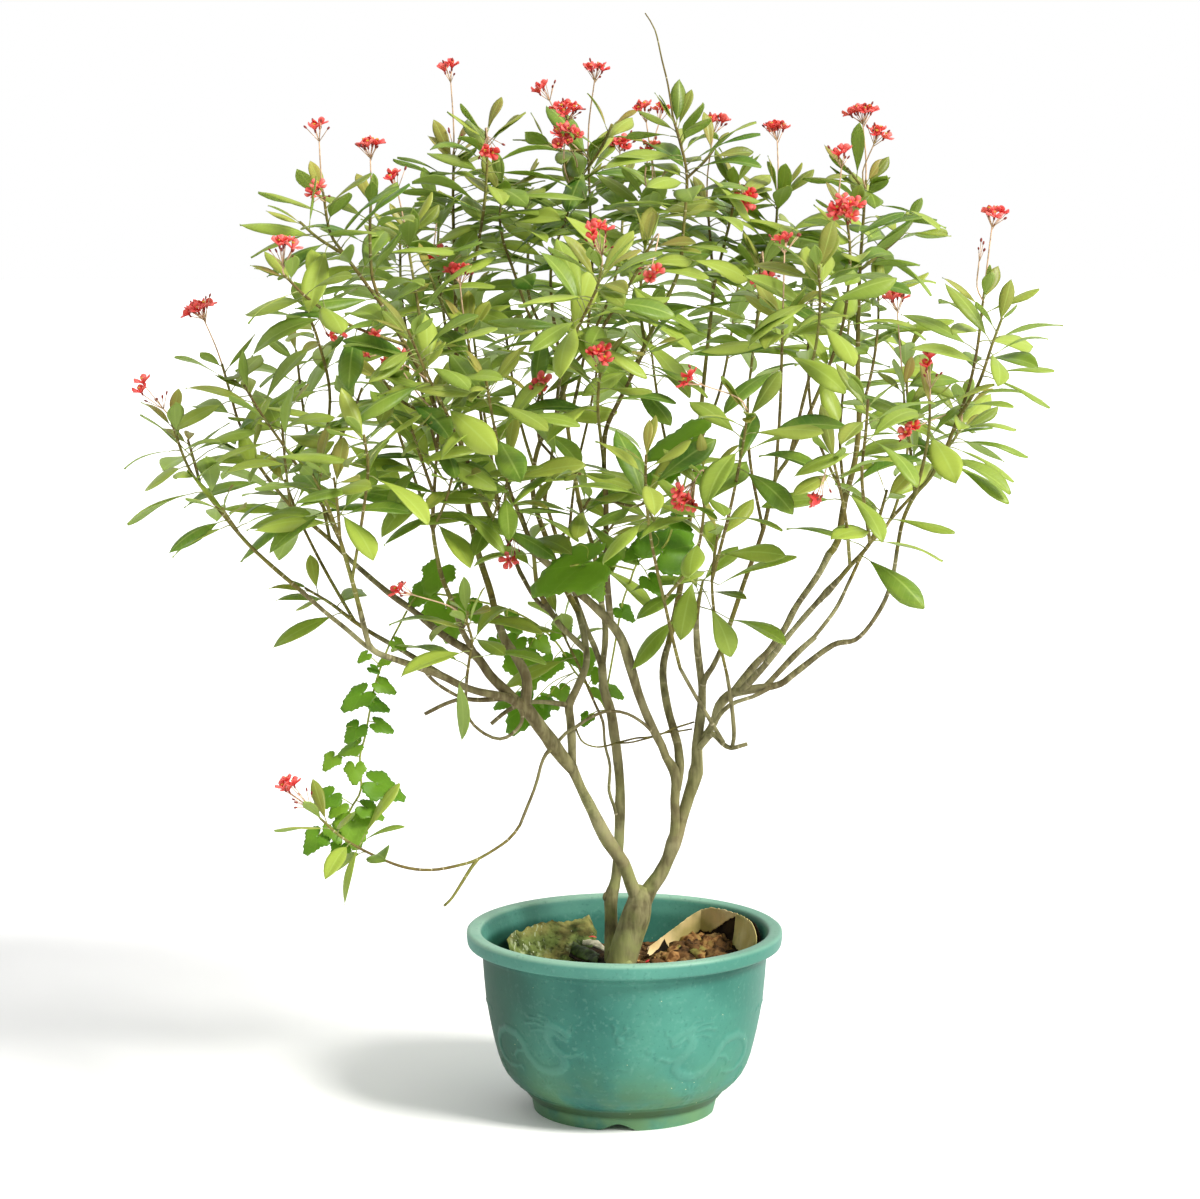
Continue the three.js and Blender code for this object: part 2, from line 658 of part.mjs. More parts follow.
      path: [
        [838, 540, 132], [845, 500, 130], [855, 460, 126], [859, 420, 122], [858, 380, 118],
        [858, 330, 112], [860, 270, 106], [863, 225, 100], [866, 180, 96],
      ],
      leaves: 22,
      blooms: [[[862, 108, 95], 4], [[877, 130, 60], 2]],
    },
    { path: [[845, 500, 130], [840, 440, 200], [845, 370, 250], [850, 310, 280]], leaves: 11 },
    { path: [[859, 420, 122], [872, 370, 150], [878, 325, 160], [878, 285, 165]], leaves: 11 },
    { path: [[860, 270, 106], [885, 250, 130], [902, 235, 142], [912, 222, 150]], leaves: 12 },
    {
      path: [[845, 500, 130], [815, 430, 170], [808, 360, 190], [812, 300, 200]],
      leaves: 10,
      blooms: [[[812, 287, 150], 0]],
    },
  ],
  low_right: [
    { path: [[850, 566, -112], [870, 543, -126], [880, 515, -136], [887, 490, -142]], leaves: 10 },
    {
      path: [[850, 566, -112], [846, 520, -190], [838, 480, -240], [832, 455, -265]],
      leaves: 9,
      blooms: [[[812, 498, -275], 1]],
    },
    { path: [[870, 543, -126], [862, 480, -220], [866, 430, -275], [868, 400, -300]], leaves: 9 },
  ],
  thin_right: [
    {
      path: [[866, 548, 96], [890, 520, 130], [905, 470, 170], [908, 420, 200], [905, 350, 220]],
      leaves: 13,
    },
    { path: [[890, 520, 130], [925, 480, 110], [950, 440, 90], [965, 405, 80]], leaves: 11 },
  ],
  loop: [
    {
      path: [[470, 655, -172], [472, 640, -178], [466, 620, -190]],
      leaves: 10,
      blooms: [[[398, 588, -200], 1]],
    },
  ],
  sag: [
    {
      path: [
        [508, 840, -155], [480, 858, -178], [460, 865, -192], [430, 870, -212], [400, 866, -230],
        [365, 851, -246], [340, 836, -254], [320, 818, -258],
      ],
      leaves: 9,
      blooms: [[[293, 778, -262], 2]],
    },
    { path: [[478, 859, -179], [471, 868, -184], [461, 884, -190], [452, 898, -194], [444, 906, -196]], leaves: 0 },
  ],
};

// Large leaves that stand out on the plant, each with its spray, the foot and tip of its blade as
// [across, down, depth], and its width
const LARGE_LEAVES = [
  ['main_right', [719, 585, -70], [797, 559, -95], 40],
  ['main_right', [706, 578, -50], [742, 548, -10], 36],
  ['main_right', [697, 579, -60], [646, 572, -85], 38],
  ['main_right', [693, 582, -52], [630, 594, -60], 40],
  ['main_right', [678, 594, -45], [637, 622, -75], 40],
  ['main_right', [692, 584, -70], [684, 642, -100], 42],
  ['main_right', [672, 622, -40], [634, 672, -62], 46],
  ['main_right', [712, 610, -85], [729, 658, -112], 52],
  ['main_right', [731, 620, -45], [785, 646, -95], 44],
  ['mid_left', [640, 338, -90], [687, 400, -130], 40],
  ['right_fork', [783, 309, 40], [827, 365, 10], 42],
  ['right_fork', [820, 372, -70], [838, 424, -100], 40],
  ['loop', [459, 684, -196], [463, 742, -212], 30],
  ['sag', [357, 850, -250], [346, 906, -262], 20],
  ['sag', [362, 842, -250], [405, 828, -262], 20],
  ['outer_right', [957, 409, -110], [1014, 408, -135], 36],
  ['outer_right', [992, 374, -112], [1055, 372, -130], 36],
  ['knotted_right', [884, 206, 80], [941, 231, 60], 42],
  ['left_bough', [330, 458, -225], [286, 476, -255], 44],
  ['left_upright', [433, 384, -150], [377, 397, -170], 42],
  ['left_rise', [271, 398, -60], [246, 440, -90], 42],
  ['far_left', [228, 442, -110], [184, 451, -130], 34],
  ['crown_stem', [586, 200, 40], [510, 199, 20], 44],
  ['mid_left', [560, 318, -90], [600, 378, -120], 42],
];

// The places that shoots fork from
const FORKS = new Set(
  Object.values(SPRAYS).flatMap((spray) => spray.slice(1).map((shoot) => String(shoot.path[0]))),
);

// The vine: each node's stems as lists of [across, down, depth], and its leaves as
// [across, down, depth, width, tilt], the width in steps of the front view too
const STEP = 1.77;
const VINE = {
  vine_stem: {
    stems: [[
      [612, 992, 74], [612, 950, 76], [612, 900, 78], [617, 850, 77], [620, 800, 76], [616, 750, 84],
      [606, 710, 102], [592, 690, 112], [575, 672, 118], [556, 642, 100], [530, 620, 72], [498, 606, 50],
      [460, 598, 34], [436, 594, 10], [418, 596, -20], [409, 606, -62],
    ]],
    leaves: [
      [523, 661, 72, 42, 0.2], [530, 704, 100, 48, -0.4], [446, 608, 20, 48, 0.1],
      [439, 571, -16, 36, -0.3], [584, 656, 118, 28, 0.1],
    ],
  },
  vine_hanging: {
    stems: [[
      [407, 611, -68], [399, 626, -90], [388, 648, -118], [376, 682, -160], [370, 710, -172],
      [365, 737, -182], [360, 757, -187], [361, 789, -196], [353, 805, -203], [346, 818, -206],
    ]],
    leaves: [
      [381, 684, -166, 22, 0.9], [362, 694, -176, 32, -0.7], [378, 724, -186, 22, 1.2],
      [357, 728, -190, 24, -0.4], [333, 758, -198, 20, -0.4], [355, 768, -200, 22, 0],
      [377, 784, -206, 40, 1.2], [330, 796, -214, 28, -0.6], [353, 820, -214, 38, 0.1],
    ],
  },
  vine_runner: {
    stems: [
      [
        [607, 688, 98], [614, 650, 100], [622, 605, 70], [630, 582, -20], [634, 570, -80],
        [640, 560, -98], [654, 554, -104], [668, 540, -108], [680, 500, -112], [694, 446, -118],
      ],
      [[634, 570, -80], [610, 565, -108], [584, 564, -122], [570, 566, -126]],
    ],
    leaves: [
      [583, 565, -128, 74, -1.35], [662, 552, -112, 60, 2.5], [692, 438, -124, 62, -1.5],
      [592, 582, -122, 28, 0.3],
    ],
  },
};

function cutAway(solid, cutters) {
  return cutters.reduce((left, cutter) => left.subtract(cutter), solid);
}

function plain(geometry) {
  geometry.deleteAttribute('normal');
  geometry.deleteAttribute('uv');
  return mergeVertices(geometry, 1e-4);
}

// The pot: a turned shell on a flat underside, cut by drain channels that notch the foot, with drain holes
function potSolid() {
  const wallInside = (radius) => radius - WALL;
  const profile = [
    [0, 0], [FOOT_RADIUS - 4, 0], [FOOT_RADIUS, FOOT_HEIGHT], [171, 27], [182, 41], [203, 59], [219, 84],
    [236, 146],
    [246, 200], [253, POT_HEIGHT - RIM_BAND - 2], [RIM_RADIUS - 2, POT_HEIGHT - RIM_BAND],
    [RIM_RADIUS, POT_HEIGHT - 5],
    [RIM_RADIUS - 4, POT_HEIGHT], [MOUTH_RADIUS + 1, POT_HEIGHT - 1],
    [wallInside(253), POT_HEIGHT - RIM_BAND - 4],
    [wallInside(246), 200], [wallInside(219) - 1, 88], [176, 46], [132, FLOOR_THICKNESS],
    [0, FLOOR_THICKNESS],
  ];
  const turned = new THREE.LatheGeometry(profile.map(([r, z]) => new THREE.Vector2(r, z)), POT_SIDES);
  turned.rotateX(Math.PI / 2);
  const cutters = [];
  const channels = 4;
  for (let i = 0; i < channels; i += 1) {
    const corners = [[-38, -1], [38, -1], [12, 12], [-14, 12]];
    const arch = new THREE.Shape(corners.map(([x, y]) => new THREE.Vector2(x, y)));
    const channel = new THREE.ExtrudeGeometry(arch, { depth: 90, bevelEnabled: false });
    channel.rotateX(Math.PI / 2);
    channel.translate(0, -85, 0);
    const turn = (i / channels) * 2 * Math.PI - 0.07;
    channel.rotateZ(turn);
    cutters.push(solidOf(plain(channel)));
    const hole = new THREE.CylinderGeometry(9, 9, 60, 8);
    hole.rotateX(Math.PI / 2);
    hole.translate(0, -104, 20);
    hole.rotateZ(turn);
    cutters.push(solidOf(plain(hole)));
  }
  return cutAway(solidOf(plain(turned)), cutters);
}

// How far the ground stands above the soil level at a place in the pot: higher at the back, with low mounds
function groundRise(x, y) {
  const slope = 12 * THREE.MathUtils.smoothstep(y, -100, 220);
  return slope + 5 * Math.sin(x / 37 + 1.2) * Math.cos(y / 43) + 3 * Math.sin(y / 21 + x / 29);
}

function soilSolid() {
  const profile = [
    [0, 17], [128, 17], [172, 47], [209, 89], [236, 196], [240, SOIL_LEVEL], [165, SOIL_LEVEL],
    [85, SOIL_LEVEL], [0, SOIL_LEVEL],
  ];
  const fill = new THREE.LatheGeometry(profile.map(([r, z]) => new THREE.Vector2(r, z)), SOIL_SIDES);
  fill.rotateX(Math.PI / 2);
  const geometry = plain(fill);
  const spots = geometry.getAttribute('position');
  for (let i = 0; i < spots.count; i += 1) {
    if (spots.getZ(i) > SOIL_LEVEL - 1) spots.setZ(i, SOIL_LEVEL + groundRise(spots.getX(i), spots.getY(i)));
  }
  const stemHole = (station, radius, depth) => {
    const hole = new THREE.CylinderGeometry(radius, radius, 140, 10);
    hole.rotateX(Math.PI / 2);
    const { x, y } = place(station);
    hole.translate(x, y, SOIL_LEVEL - depth + 70);
    return solidOf(plain(hole));
  };
  const holes = [
    stemHole(WOOD.trunk[1], 38, 80),
    stemHole(WOOD.middle_stem[1], 20, 80),
    stemHole(VINE.vine_stem.stems[0][0], 7, 50),
  ];
  return cutAway(solidOf(geometry), holes);
}

// A slab between an upper and a lower grid of points, rows by columns
function slab(rows, columns, top, bottom) {
  const vertices = [];
  const faces = [];
  for (const side of [top, bottom]) {
    for (let i = 0; i < rows; i += 1) {
      for (let j = 0; j < columns; j += 1) vertices.push(side(i / (rows - 1), j / (columns - 1)));
    }
  }
  const under = rows * columns;
  const quad = (a, b, c, d) => faces.push([a, b, c], [a, c, d]);
  for (let i = 0; i + 1 < rows; i += 1) {
    for (let j = 0; j + 1 < columns; j += 1) {
      const a = i * columns + j;
      quad(a, a + 1, a + columns + 1, a + columns);
      quad(under + a + columns, under + a + columns + 1, under + a + 1, under + a);
    }
  }
  for (let j = 0; j + 1 < columns; j += 1) {
    const far = (rows - 1) * columns + j;
    quad(under + j, under + j + 1, j + 1, j);
    quad(far, far + 1, under + far + 1, under + far);
  }
  for (let i = 0; i + 1 < rows; i += 1) {
    const near = i * columns;
    const far = near + columns - 1;
    quad(near, near + columns, under + near + columns, under + near);
    quad(under + far, under + far + columns, far + columns, far);
  }
  return solidOf(shapeOf(vertices, faces));
}

// The mossy mat: a folded piece that lies on the soil at the left and leans on the pot's wall. Each row is
// [x, y, z] along its upper edge and [x, y] along its front edge on the soil.
const MAT = [
  { upper: [-211, 76, 282], front: [-196, 54] },
  { upper: [-194, 112, 291], front: [-178, 60] },
  { upper: [-172, 142, 292], front: [-158, 66] },
  { upper: [-146, 162, 294], front: [-136, 70] },
  { upper: [-120, 180, 292], front: [-114, 74] },
  { upper: [-94, 190, 292], front: [-92, 76] },
  { upper: [-63, 195, 300], front: [-72, 78] },
  { upper: [-49, 186, 270], front: [-56, 82] },
];
const MAT_THICKNESS = 7;

function matSolid() {
  const spot = (i, j) => {
    const { upper, front } = MAT[Math.round(j * (MAT.length - 1))];
    const [x, y] = [0, 1].map((k) => THREE.MathUtils.lerp(front[k], upper[k], i));
    const ground = SOIL_LEVEL + groundRise(x, y) + 10;
    const fold = 4 * Math.sin(9 * j + 4 * i) * Math.sin(Math.PI * i);
    const rise = THREE.MathUtils.lerp(0.25 * i, 1, THREE.MathUtils.smoothstep(i, 0.25, 1.05));
    return new THREE.Vector3(x, y, THREE.MathUtils.lerp(ground, upper[2], rise) + fold);
  };
  const lowered = (i, j) => {
    const v = spot(i, j);
    return v.setZ(v.z - MAT_THICKNESS);
  };
  return slab(5, MAT.length, spot, lowered);
}

// The torn sheet: stands against the wall at the right, as [x, y, upper edge, lower edge]
const SHEET = [
  [46, 118, 260, 246], [82, 152, 279, 248], [126, 190, 303, 250], [144, 195, 312, 250],
  [160, 184, 318, 250], [186, 155, 321, 248], [204, 130, 320, 246], [224, 100, 322, 245],
  [243, 62, 320, 243], [245, -14, 297, 242],
];
const SHEET_THICKNESS = 2.4;

function sheetSolid() {
  const last = SHEET.length - 1;
  const spot = (i, j, inward) => {
    const [x, y, upper, lower] = SHEET[Math.round(j * last)];
    const radius = Math.hypot(x, y);
    const limit = Math.min(radius, 243);
    const scale = (limit - inward - 14 * (1 - i) * (1 - i)) / radius;
    return new THREE.Vector3(x * scale, y * scale, THREE.MathUtils.lerp(lower, upper, i));
  };
  return slab(3, SHEET.length, (i, j) => spot(i, j, SHEET_THICKNESS), (i, j) => spot(i, j, 0));
}

// A bloom: flowers of five pointed petals, each on a thin stalk of its own from the top of one long stalk
const STALK_RADIUS = 1.5;
// How far below the flowers a tall stalk forks
const BLOOM_DEPTH = 34;

function flowerSolid(root, face, radius, turn) {
  const axis = face.clone().sub(root).normalize();
  const across = new THREE.Vector3(0.2, 0.9, 0.4).cross(axis).normalize();
  const other = axis.clone().cross(across);
  const spoke = (from, lift, reach, angle) => {
    const spot = from.clone().addScaledVector(axis, lift).addScaledVector(across, reach * Math.cos(angle));
    return spot.addScaledVector(other, reach * Math.sin(angle));
  };
  const corners = 10;
  const vertices = [spoke(face, -3, 0, 0)];
  const faces = [];
  for (let k = 0; k < corners; k += 1) {
    const notch = k % 2 === 1;
    const angle = turn + (k / corners) * 2 * Math.PI;
    vertices.push(spoke(face, notch ? -3 : 4, radius * (notch ? 0.38 : 1), angle));
    faces.push([0, 1 + k, 1 + ((k + 1) % corners)]);
  }
  // Under the star three corners gather the petals, and three more end the stalk
  const under = corners + 1;
  const bounds = [0, 3, 7, 10];
  for (let side = 0; side < 3; side += 1) {
    vertices.push(spoke(face, -8, 1.6, turn + (bounds[side] / corners) * 2 * Math.PI));
  }
  for (let side = 0; side < 3; side += 1) {
    vertices.push(spoke(root, 0, 0.55, turn + (bounds[side] / corners) * 2 * Math.PI));
    const next = (side + 1) % 3;
    for (let k = bounds[side]; k < bounds[side + 1]; k += 1) {
      faces.push([1 + ((k + 1) % corners), 1 + k, under + side]);
    }
    faces.push([1 + (bounds[side + 1] % corners), under + side, under + next]);
    faces.push([under + next, under + side, under + 3 + side]);
    faces.push([under + next, under + 3 + side, under + 3 + next]);
  }
  faces.push([under + 3, under + 5, under + 4]);
  return solidOf(shapeOf(vertices, faces));
}

function bloomSolids(foot, way, head, flowers, draw) {
  const low = new THREE.Vector3(0, 0, -1);
  const rise = head.distanceTo(foot);
  const tall = rise > 90;
  const stalkTop = foot.clone().lerp(head, tall ? 1 - BLOOM_DEPTH / rise : 0.4);
  stalkTop.addScaledVector(low, tall ? 0 : 8);
  const bend = foot.clone().addScaledVector(way, 0.4 * foot.distanceTo(stalkTop));
  bend.lerp(foot.clone().lerp(stalkTop, 0.4), 0.6);
  const path = [foot.clone().addScaledVector(way, -3), bend, stalkTop];
  const solids = [solidOf(tube(path, [STALK_RADIUS, STALK_RADIUS, 1.6], 3))];
  const up = stalkTop.clone().sub(bend).normalize();
  for (let k = 0; k < flowers; k += 1) {
    const root = stalkTop.clone().addScaledVector(up, -1.2 - 6 * k);
    const angle = draw() * 0.8 + (k / flowers) * 2 * Math.PI;
    const out = flowers === 1 ? 0 : 19;
    const aside = new THREE.Vector3(out * Math.cos(angle), out * 0.8 * Math.sin(angle), 5 - 8 * draw());
    const face = head.clone().add(aside);
    solids.push(flowerSolid(root, face, FLOWER_RADIUS * (0.9 + 0.2 * draw()), draw() * 2));
  }
  return solids;
}

// Every node is kept here as a solid, so that later pieces can be kept clear of it
const nodes = new Map();

function boxesMeet(a, b) {
  const one = a.boundingBox();
  const two = b.boundingBox();
  return [0, 1, 2].every((k) => one.min[k] <= two.max[k] && two.min[k] <= one.max[k]);
}

function isClear(probe, ownName) {
  for (const [name, solid] of nodes) {
    if (name !== ownName && boxesMeet(probe, solid) && !probe.intersect(solid).isEmpty()) return false;
  }
  return true;
}

// The end of a bare branch, a little thicker and longer than the wood, to cut what grows on from it flush
function collar(points, radius) {
  const tip = points[points.length - 1];
  const before = points[points.length - 2];
  const along = tip.clone().sub(before).normalize();
  const start = tip.clone().addScaledVector(along, -Math.min(14, tip.distanceTo(before)));
  const end = tip.clone().addScaledVector(along, GAP);
  return solidOf(tube([start, end], [radius * 1.3 + 1, radius * 1.3 + 1], 8));
}

// Leaves stand round a shoot by the golden angle, crowded and young at the tip
const FIRST_LEAF = 7;
const LEAF_SPACING = 13;
const LEAF_ROLL = 1.0;

function leavesOf(path, count, draw) {
  const leaves = [];
  const phase = draw() * 2 * Math.PI;
  for (let k = 0; k < count; k += 1) {
    const age = Math.min(1, k / 5);
    const below = FIRST_LEAF + LEAF_SPACING * k * (0.75 + 0.04 * k);
    const jitter = [draw(), draw(), draw(), draw(), draw()];
    if (below > path.total - 6) continue;
    const { point, along } = pointAlong(path, path.total - below);
    const angle = phase + k * GOLDEN_ANGLE + (jitter[0] - 0.5) * 0.5;
    const outward = new THREE.Vector3(Math.cos(angle), Math.sin(angle), 0);
    outward.addScaledVector(along, -outward.dot(along)).normalize();
    const lift = THREE.MathUtils.lerp(1.05, 0.25, age) + (jitter[1] - 0.5) * 0.5;
    const heading = outward.clone().multiplyScalar(Math.cos(lift)).addScaledVector(along, Math.sin(lift));
    heading.z = THREE.MathUtils.lerp(heading.z, Math.max(-0.2, heading.z), 0.8);
    heading.normalize();
    const size = THREE.MathUtils.lerp(0.45, 1, age) * (0.82 + 0.3 * jitter[2]);
    leaves.push({
      root: point,
      foot: point.clone().addScaledVector(heading, PETIOLE * THREE.MathUtils.lerp(0.4, 1, age)),
      heading,
      length: LEAF_LENGTH * size,
      width: LEAF_WIDTH * size * (0.85 + 0.3 * jitter[3]),
      droop: THREE.MathUtils.lerp(0.15, 0.55, age) + (jitter[4] - 0.5) * 0.4,
      roll: (jitter[3] - 0.5) * LEAF_ROLL,
    });
  }
  return leaves;
}

// A leaf from the foot to the tip of its blade, whose stalk comes from the nearest stem
const LARGE_LEAF_DROOP = 0.5;

function largeLeaf(stems, footAt, tipAt, width) {
  const foot = place(footAt);
  const run = place(tipAt).sub(foot);
  const level = run.clone().cross(new THREE.Vector3(0, 0, 1)).normalize();
  const roots = stems.map((points) => nearestOn(points, foot));
  return {
    root: roots.reduce((a, b) => (a.distanceTo(foot) < b.distanceTo(foot) ? a : b)),
    foot,
    heading: run.clone().normalize().applyAxisAngle(level, LARGE_LEAF_DROOP / 2),
    length: run.length(),
    width,
    droop: LARGE_LEAF_DROOP,
    roll: 0,
  };
}

// Of the leaves that a shoot bears, the share that is modelled one by one
const KEPT_SHARE = 0.18;

function keepLeaves(name, solid, leaves) {
  const wanted = Math.round(leaves.length * KEPT_SHARE);
  const order = [...leaves.keys()].sort((a, b) => (a % 2) - (b % 2) || a - b);
  let kept = 0;
  let whole = solid;
  for (const k of order) {
    if (kept >= wanted) break;
    const blade = leafSolid(leaves[k], 0.5, true);
    const stalked = leafSolid(leaves[k], 0.4);
    if (isClear(stalked, name) && blade.intersect(whole).isEmpty()) {
      whole = whole.add(leafSolid(leaves[k]));
      kept += 1;
    }
  }
  return whole;
}

const LEAF_GREEN = { color: 0x86ab4c, roughness: 0.45 };
const FINISHES = {
  pot: { color: 0x418a80, roughness: 0.5 },
  soil: { color: 0x5b3d28, roughness: 0.95 },
  mossy_mat: { color: 0x6c6d35, roughness: 0.95 },
  torn_sheet: { color: 0xcdae84, roughness: 0.85 },
  wood: { color: 0x7a745a, roughness: 0.8 },
  bloom: { color: 0xe0464c, roughness: 0.5 },
  vine: { color: 0x69a63c, roughness: 0.5 },
};

function growSprays() {
  const shoots = [];
  for (const [name, spray] of Object.entries(SPRAYS)) {
    const woodEnd = WOOD[name][WOOD[name].length - 1];
    const woodPoints = branchPath(WOOD[name]).points.slice(-2);
    const woodWay = woodPoints[1].clone().sub(woodPoints[0]).normalize();
    const nodeName = `leafy_${name}`;
    const solids = [];
    spray.forEach((shoot, s) => {
      const stations = s === 0 ? [woodEnd.slice(0, 3), ...shoot.path] : shoot.path;
      const footRadius = s === 0 ? woodEnd[3] : 2.9;
      const path = stemPath(stations, footRadius, 2);
      const points = [...path.points];
      const radii = [...path.radii];
      if (s === 0) {
        points[0] = points[0].clone().addScaledVector(woodWay, -3);
      }
      if (shoot.bare) {
        shoot.bare.forEach((station, k) => {
          points.push(place(station));
          radii.push(1.9 - 0.2 * k);
        });
      }
      solids.push(solidOf(tube(points, radii, sidesFor(footRadius))));
      shoots.push({ nodeName, path, shoot });
    });
    const cutter = collar(woodPoints, woodEnd[3]);
    nodes.set(nodeName, largestBody(joined(solids).subtract(cutter)));
  }
  return shoots;
}

function growBlooms(shoots) {
  const draw = seeded(91);
  let number = 0;
  for (const { nodeName, path, shoot } of shoots) {
    (shoot.blooms || []).forEach(([centreAt, flowers], k) => {
      const { point, along } = pointAlong(path, path.total - 16 * k);
      const head = place(centreAt);
      const ownNode = flowers >= 3 && k === 0;
      const way = along.clone();
      if (k > 0) {
        const sideways = along.clone().cross(new THREE.Vector3(0, 1, 0)).normalize();
        way.copy(head).sub(point).normalize().addScaledVector(sideways, k === 1 ? 0.9 : -0.9).normalize();
      }
      const bloom = joined(bloomSolids(point, way, head, ownNode ? 3 : 1, draw));
      if (ownNode) {
        number += 1;
        const cutter = collar(path.points, path.radii[path.radii.length - 1]);
        nodes.set(`bloom_${String(number).padStart(2, '0')}`, largestBody(bloom.subtract(cutter)));
      } else {
        nodes.set(nodeName, nodes.get(nodeName).add(bloom));
      }
    });
  }
}

// A vine leaf: a thin five-lobed plate on a thin stalk that starts inside the vine's stem. The outline is
// [across, down] in widths of the leaf, from the notch at the top of the blade.
const VINE_OUTLINE = [
  [0, 0.03], [0.36, -0.22], [0.5, 0.12], [0.38, 0.42], [0, 0.8], [-0.38, 0.42], [-0.5, 0.12],
  [-0.36, -0.22],
];
const VINE_LEAF_HALF_THICKNESS = 0.9;
const VINE_STALK_RADIUS = 1.2;
const VINE_RADIUS = 1.9;

function vineLeafSolids(top, stem, width, tilt) {
  const size = width * STEP;
  const lying = Math.abs(Math.sin(tilt));
  const facing = new THREE.Vector3(0.4 * Math.sin(tilt), 0.25 * lying - 0.8, 0.5 + 0.3 * lying).normalize();
  const down = new THREE.Vector3(Math.sin(tilt), 0, -Math.cos(tilt));
  down.addScaledVector(facing, -down.dot(facing)).normalize();
  const side = down.clone().cross(facing).normalize();
  const rim = VINE_OUTLINE.map(([x, y]) => {
    const cup = 0.1 * size * x * x + 0.08 * size * y * y;
    const spot = top.clone().addScaledVector(side, x * size).addScaledVector(down, y * size);
    return spot.addScaledVector(facing, -cup);
  });
  const middle = top.clone().addScaledVector(down, 0.25 * size);
  const count = rim.length;
  const vertices = [];
  for (const lift of [VINE_LEAF_HALF_THICKNESS, -VINE_LEAF_HALF_THICKNESS]) {
    for (const spot of rim) vertices.push(spot.clone().addScaledVector(facing, lift));
    vertices.push(middle.clone().addScaledVector(facing, lift));
  }
  const faces = [];
  const under = count + 1;
  for (let k = 0; k < count; k += 1) {
    const next = (k + 1) % count;
    faces.push([k, next, count], [under + next, under + k, under + count]);
    faces.push([next, k, under + k], [next, under + k, under + next]);
  }
  const plate = solidOf(shapeOf(vertices, faces));
  const end = top.clone().addScaledVector(down, 0.12 * size);
  return [plate, solidOf(tube([stem, end], [VINE_STALK_RADIUS, VINE_STALK_RADIUS], 3))];
}

function nearestOn(points, target) {
  let best = points[0];
  let bestDistance = Infinity;
  for (let i = 1; i < points.length; i += 1) {
    const line = new THREE.Line3(points[i - 1], points[i]);
    const spot = line.closestPointToPoint(target, true, new THREE.Vector3());
    if (spot.distanceTo(target) < bestDistance) {
      bestDistance = spot.distanceTo(target);
      best = spot;
    }
  }
  return best;
}

function growVine() {
  for (const [name, vine] of Object.entries(VINE)) {
    const stems = vine.stems.map((stem) => {
      const places = stem.map(place);
      return keptStations(places).map((k) => places[k]);
    });
    const solids = stems.map((points) => solidOf(tube(points, points.map(() => VINE_RADIUS), 3)));
    for (const [across, down, depth, width, tilt] of vine.leaves) {
      const top = place([across, down, depth]);
      const roots = stems.map((points) => nearestOn(points, top));
      const root = roots.reduce((a, b) => (a.distanceTo(top) < b.distanceTo(top) ? a : b));
      solids.push(...vineLeafSolids(top, root, width, tilt));
    }
    nodes.set(name, largestBody(joined(solids)));
  }
}

function meshOf(name, solid, finish) {
  const mesh = solid.getMesh();
  const geometry = new THREE.BufferGeometry();
  geometry.setAttribute('position', new THREE.BufferAttribute(new Float32Array(mesh.vertProperties), 3));
  geometry.setIndex(new THREE.BufferAttribute(new Uint32Array(mesh.triVerts), 1));
  geometry.computeVertexNormals();
  const made = new THREE.Mesh(geometry, new THREE.MeshStandardMaterial(finish));
  made.name = name;
  return made;
}

nodes.set('pot', potSolid());
nodes.set('soil', soilSolid());
nodes.set('mossy_mat', matSolid());
nodes.set('torn_sheet', sheetSolid());
nodes.set('trunk_and_branches', largestBody(joined(Object.values(WOOD).map(branchSolid))));
growVine();
const shoots = growSprays();
growBlooms(shoots);
for (const [name, foot, tip, width] of LARGE_LEAVES) {
  const nodeName = `leafy_${name}`;
  const stems = shoots.filter((shoot) => shoot.nodeName === nodeName).map((shoot) => shoot.path.points);
  nodes.set(nodeName, nodes.get(nodeName).add(leafSolid(largeLeaf(stems, foot, tip, width))));
}
shoots.forEach(({ nodeName, path, shoot }, number) => {
  const leaves = leavesOf(path, shoot.leaves, seeded(number + 1));
  nodes.set(nodeName, keepLeaves(nodeName, nodes.get(nodeName), leaves));
});

function finishOf(name) {
  if (name.startsWith('leafy')) return LEAF_GREEN;
  if (name.startsWith('bloom')) return FINISHES.bloom;
  if (name.startsWith('vine')) return FINISHES.vine;
  return FINISHES[name] || FINISHES.wood;
}

const pottedJatropha = new THREE.Group();
for (const [name, solid] of nodes) {
  pottedJatropha.add(meshOf(name, largestBody(solid), finishOf(name)));
}

export default pottedJatropha;
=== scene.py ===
# The potted jatropha as it is seen: a flowering shrub with a wild vine in a round teal pot.
import itertools
import math

import bpy
import numpy as np
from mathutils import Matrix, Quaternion, Vector, noise


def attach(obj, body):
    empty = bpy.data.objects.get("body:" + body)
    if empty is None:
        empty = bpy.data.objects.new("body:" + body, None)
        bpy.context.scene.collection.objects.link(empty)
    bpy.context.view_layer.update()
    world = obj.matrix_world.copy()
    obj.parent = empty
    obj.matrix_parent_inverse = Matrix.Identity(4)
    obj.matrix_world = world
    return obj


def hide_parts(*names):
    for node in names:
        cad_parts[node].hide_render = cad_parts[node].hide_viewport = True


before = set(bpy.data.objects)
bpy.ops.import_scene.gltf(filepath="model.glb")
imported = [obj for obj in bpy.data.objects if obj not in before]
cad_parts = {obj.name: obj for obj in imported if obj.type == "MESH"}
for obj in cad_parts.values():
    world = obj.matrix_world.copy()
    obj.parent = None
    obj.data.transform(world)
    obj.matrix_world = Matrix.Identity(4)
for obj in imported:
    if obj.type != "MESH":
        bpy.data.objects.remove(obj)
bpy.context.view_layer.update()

MM = 0.001
TAU = 2 * math.pi
UP = Vector((0, 0, 1))

# Driving dimensions in millimetres, as in the part's source, and the turn from leaf to leaf
SOIL_LEVEL = 226
LEAF_LENGTH = 122
LEAF_WIDTH = 42
PETIOLE = 26
FLOWER_RADIUS = 14
GOLDEN_ANGLE = math.radians(137.5)

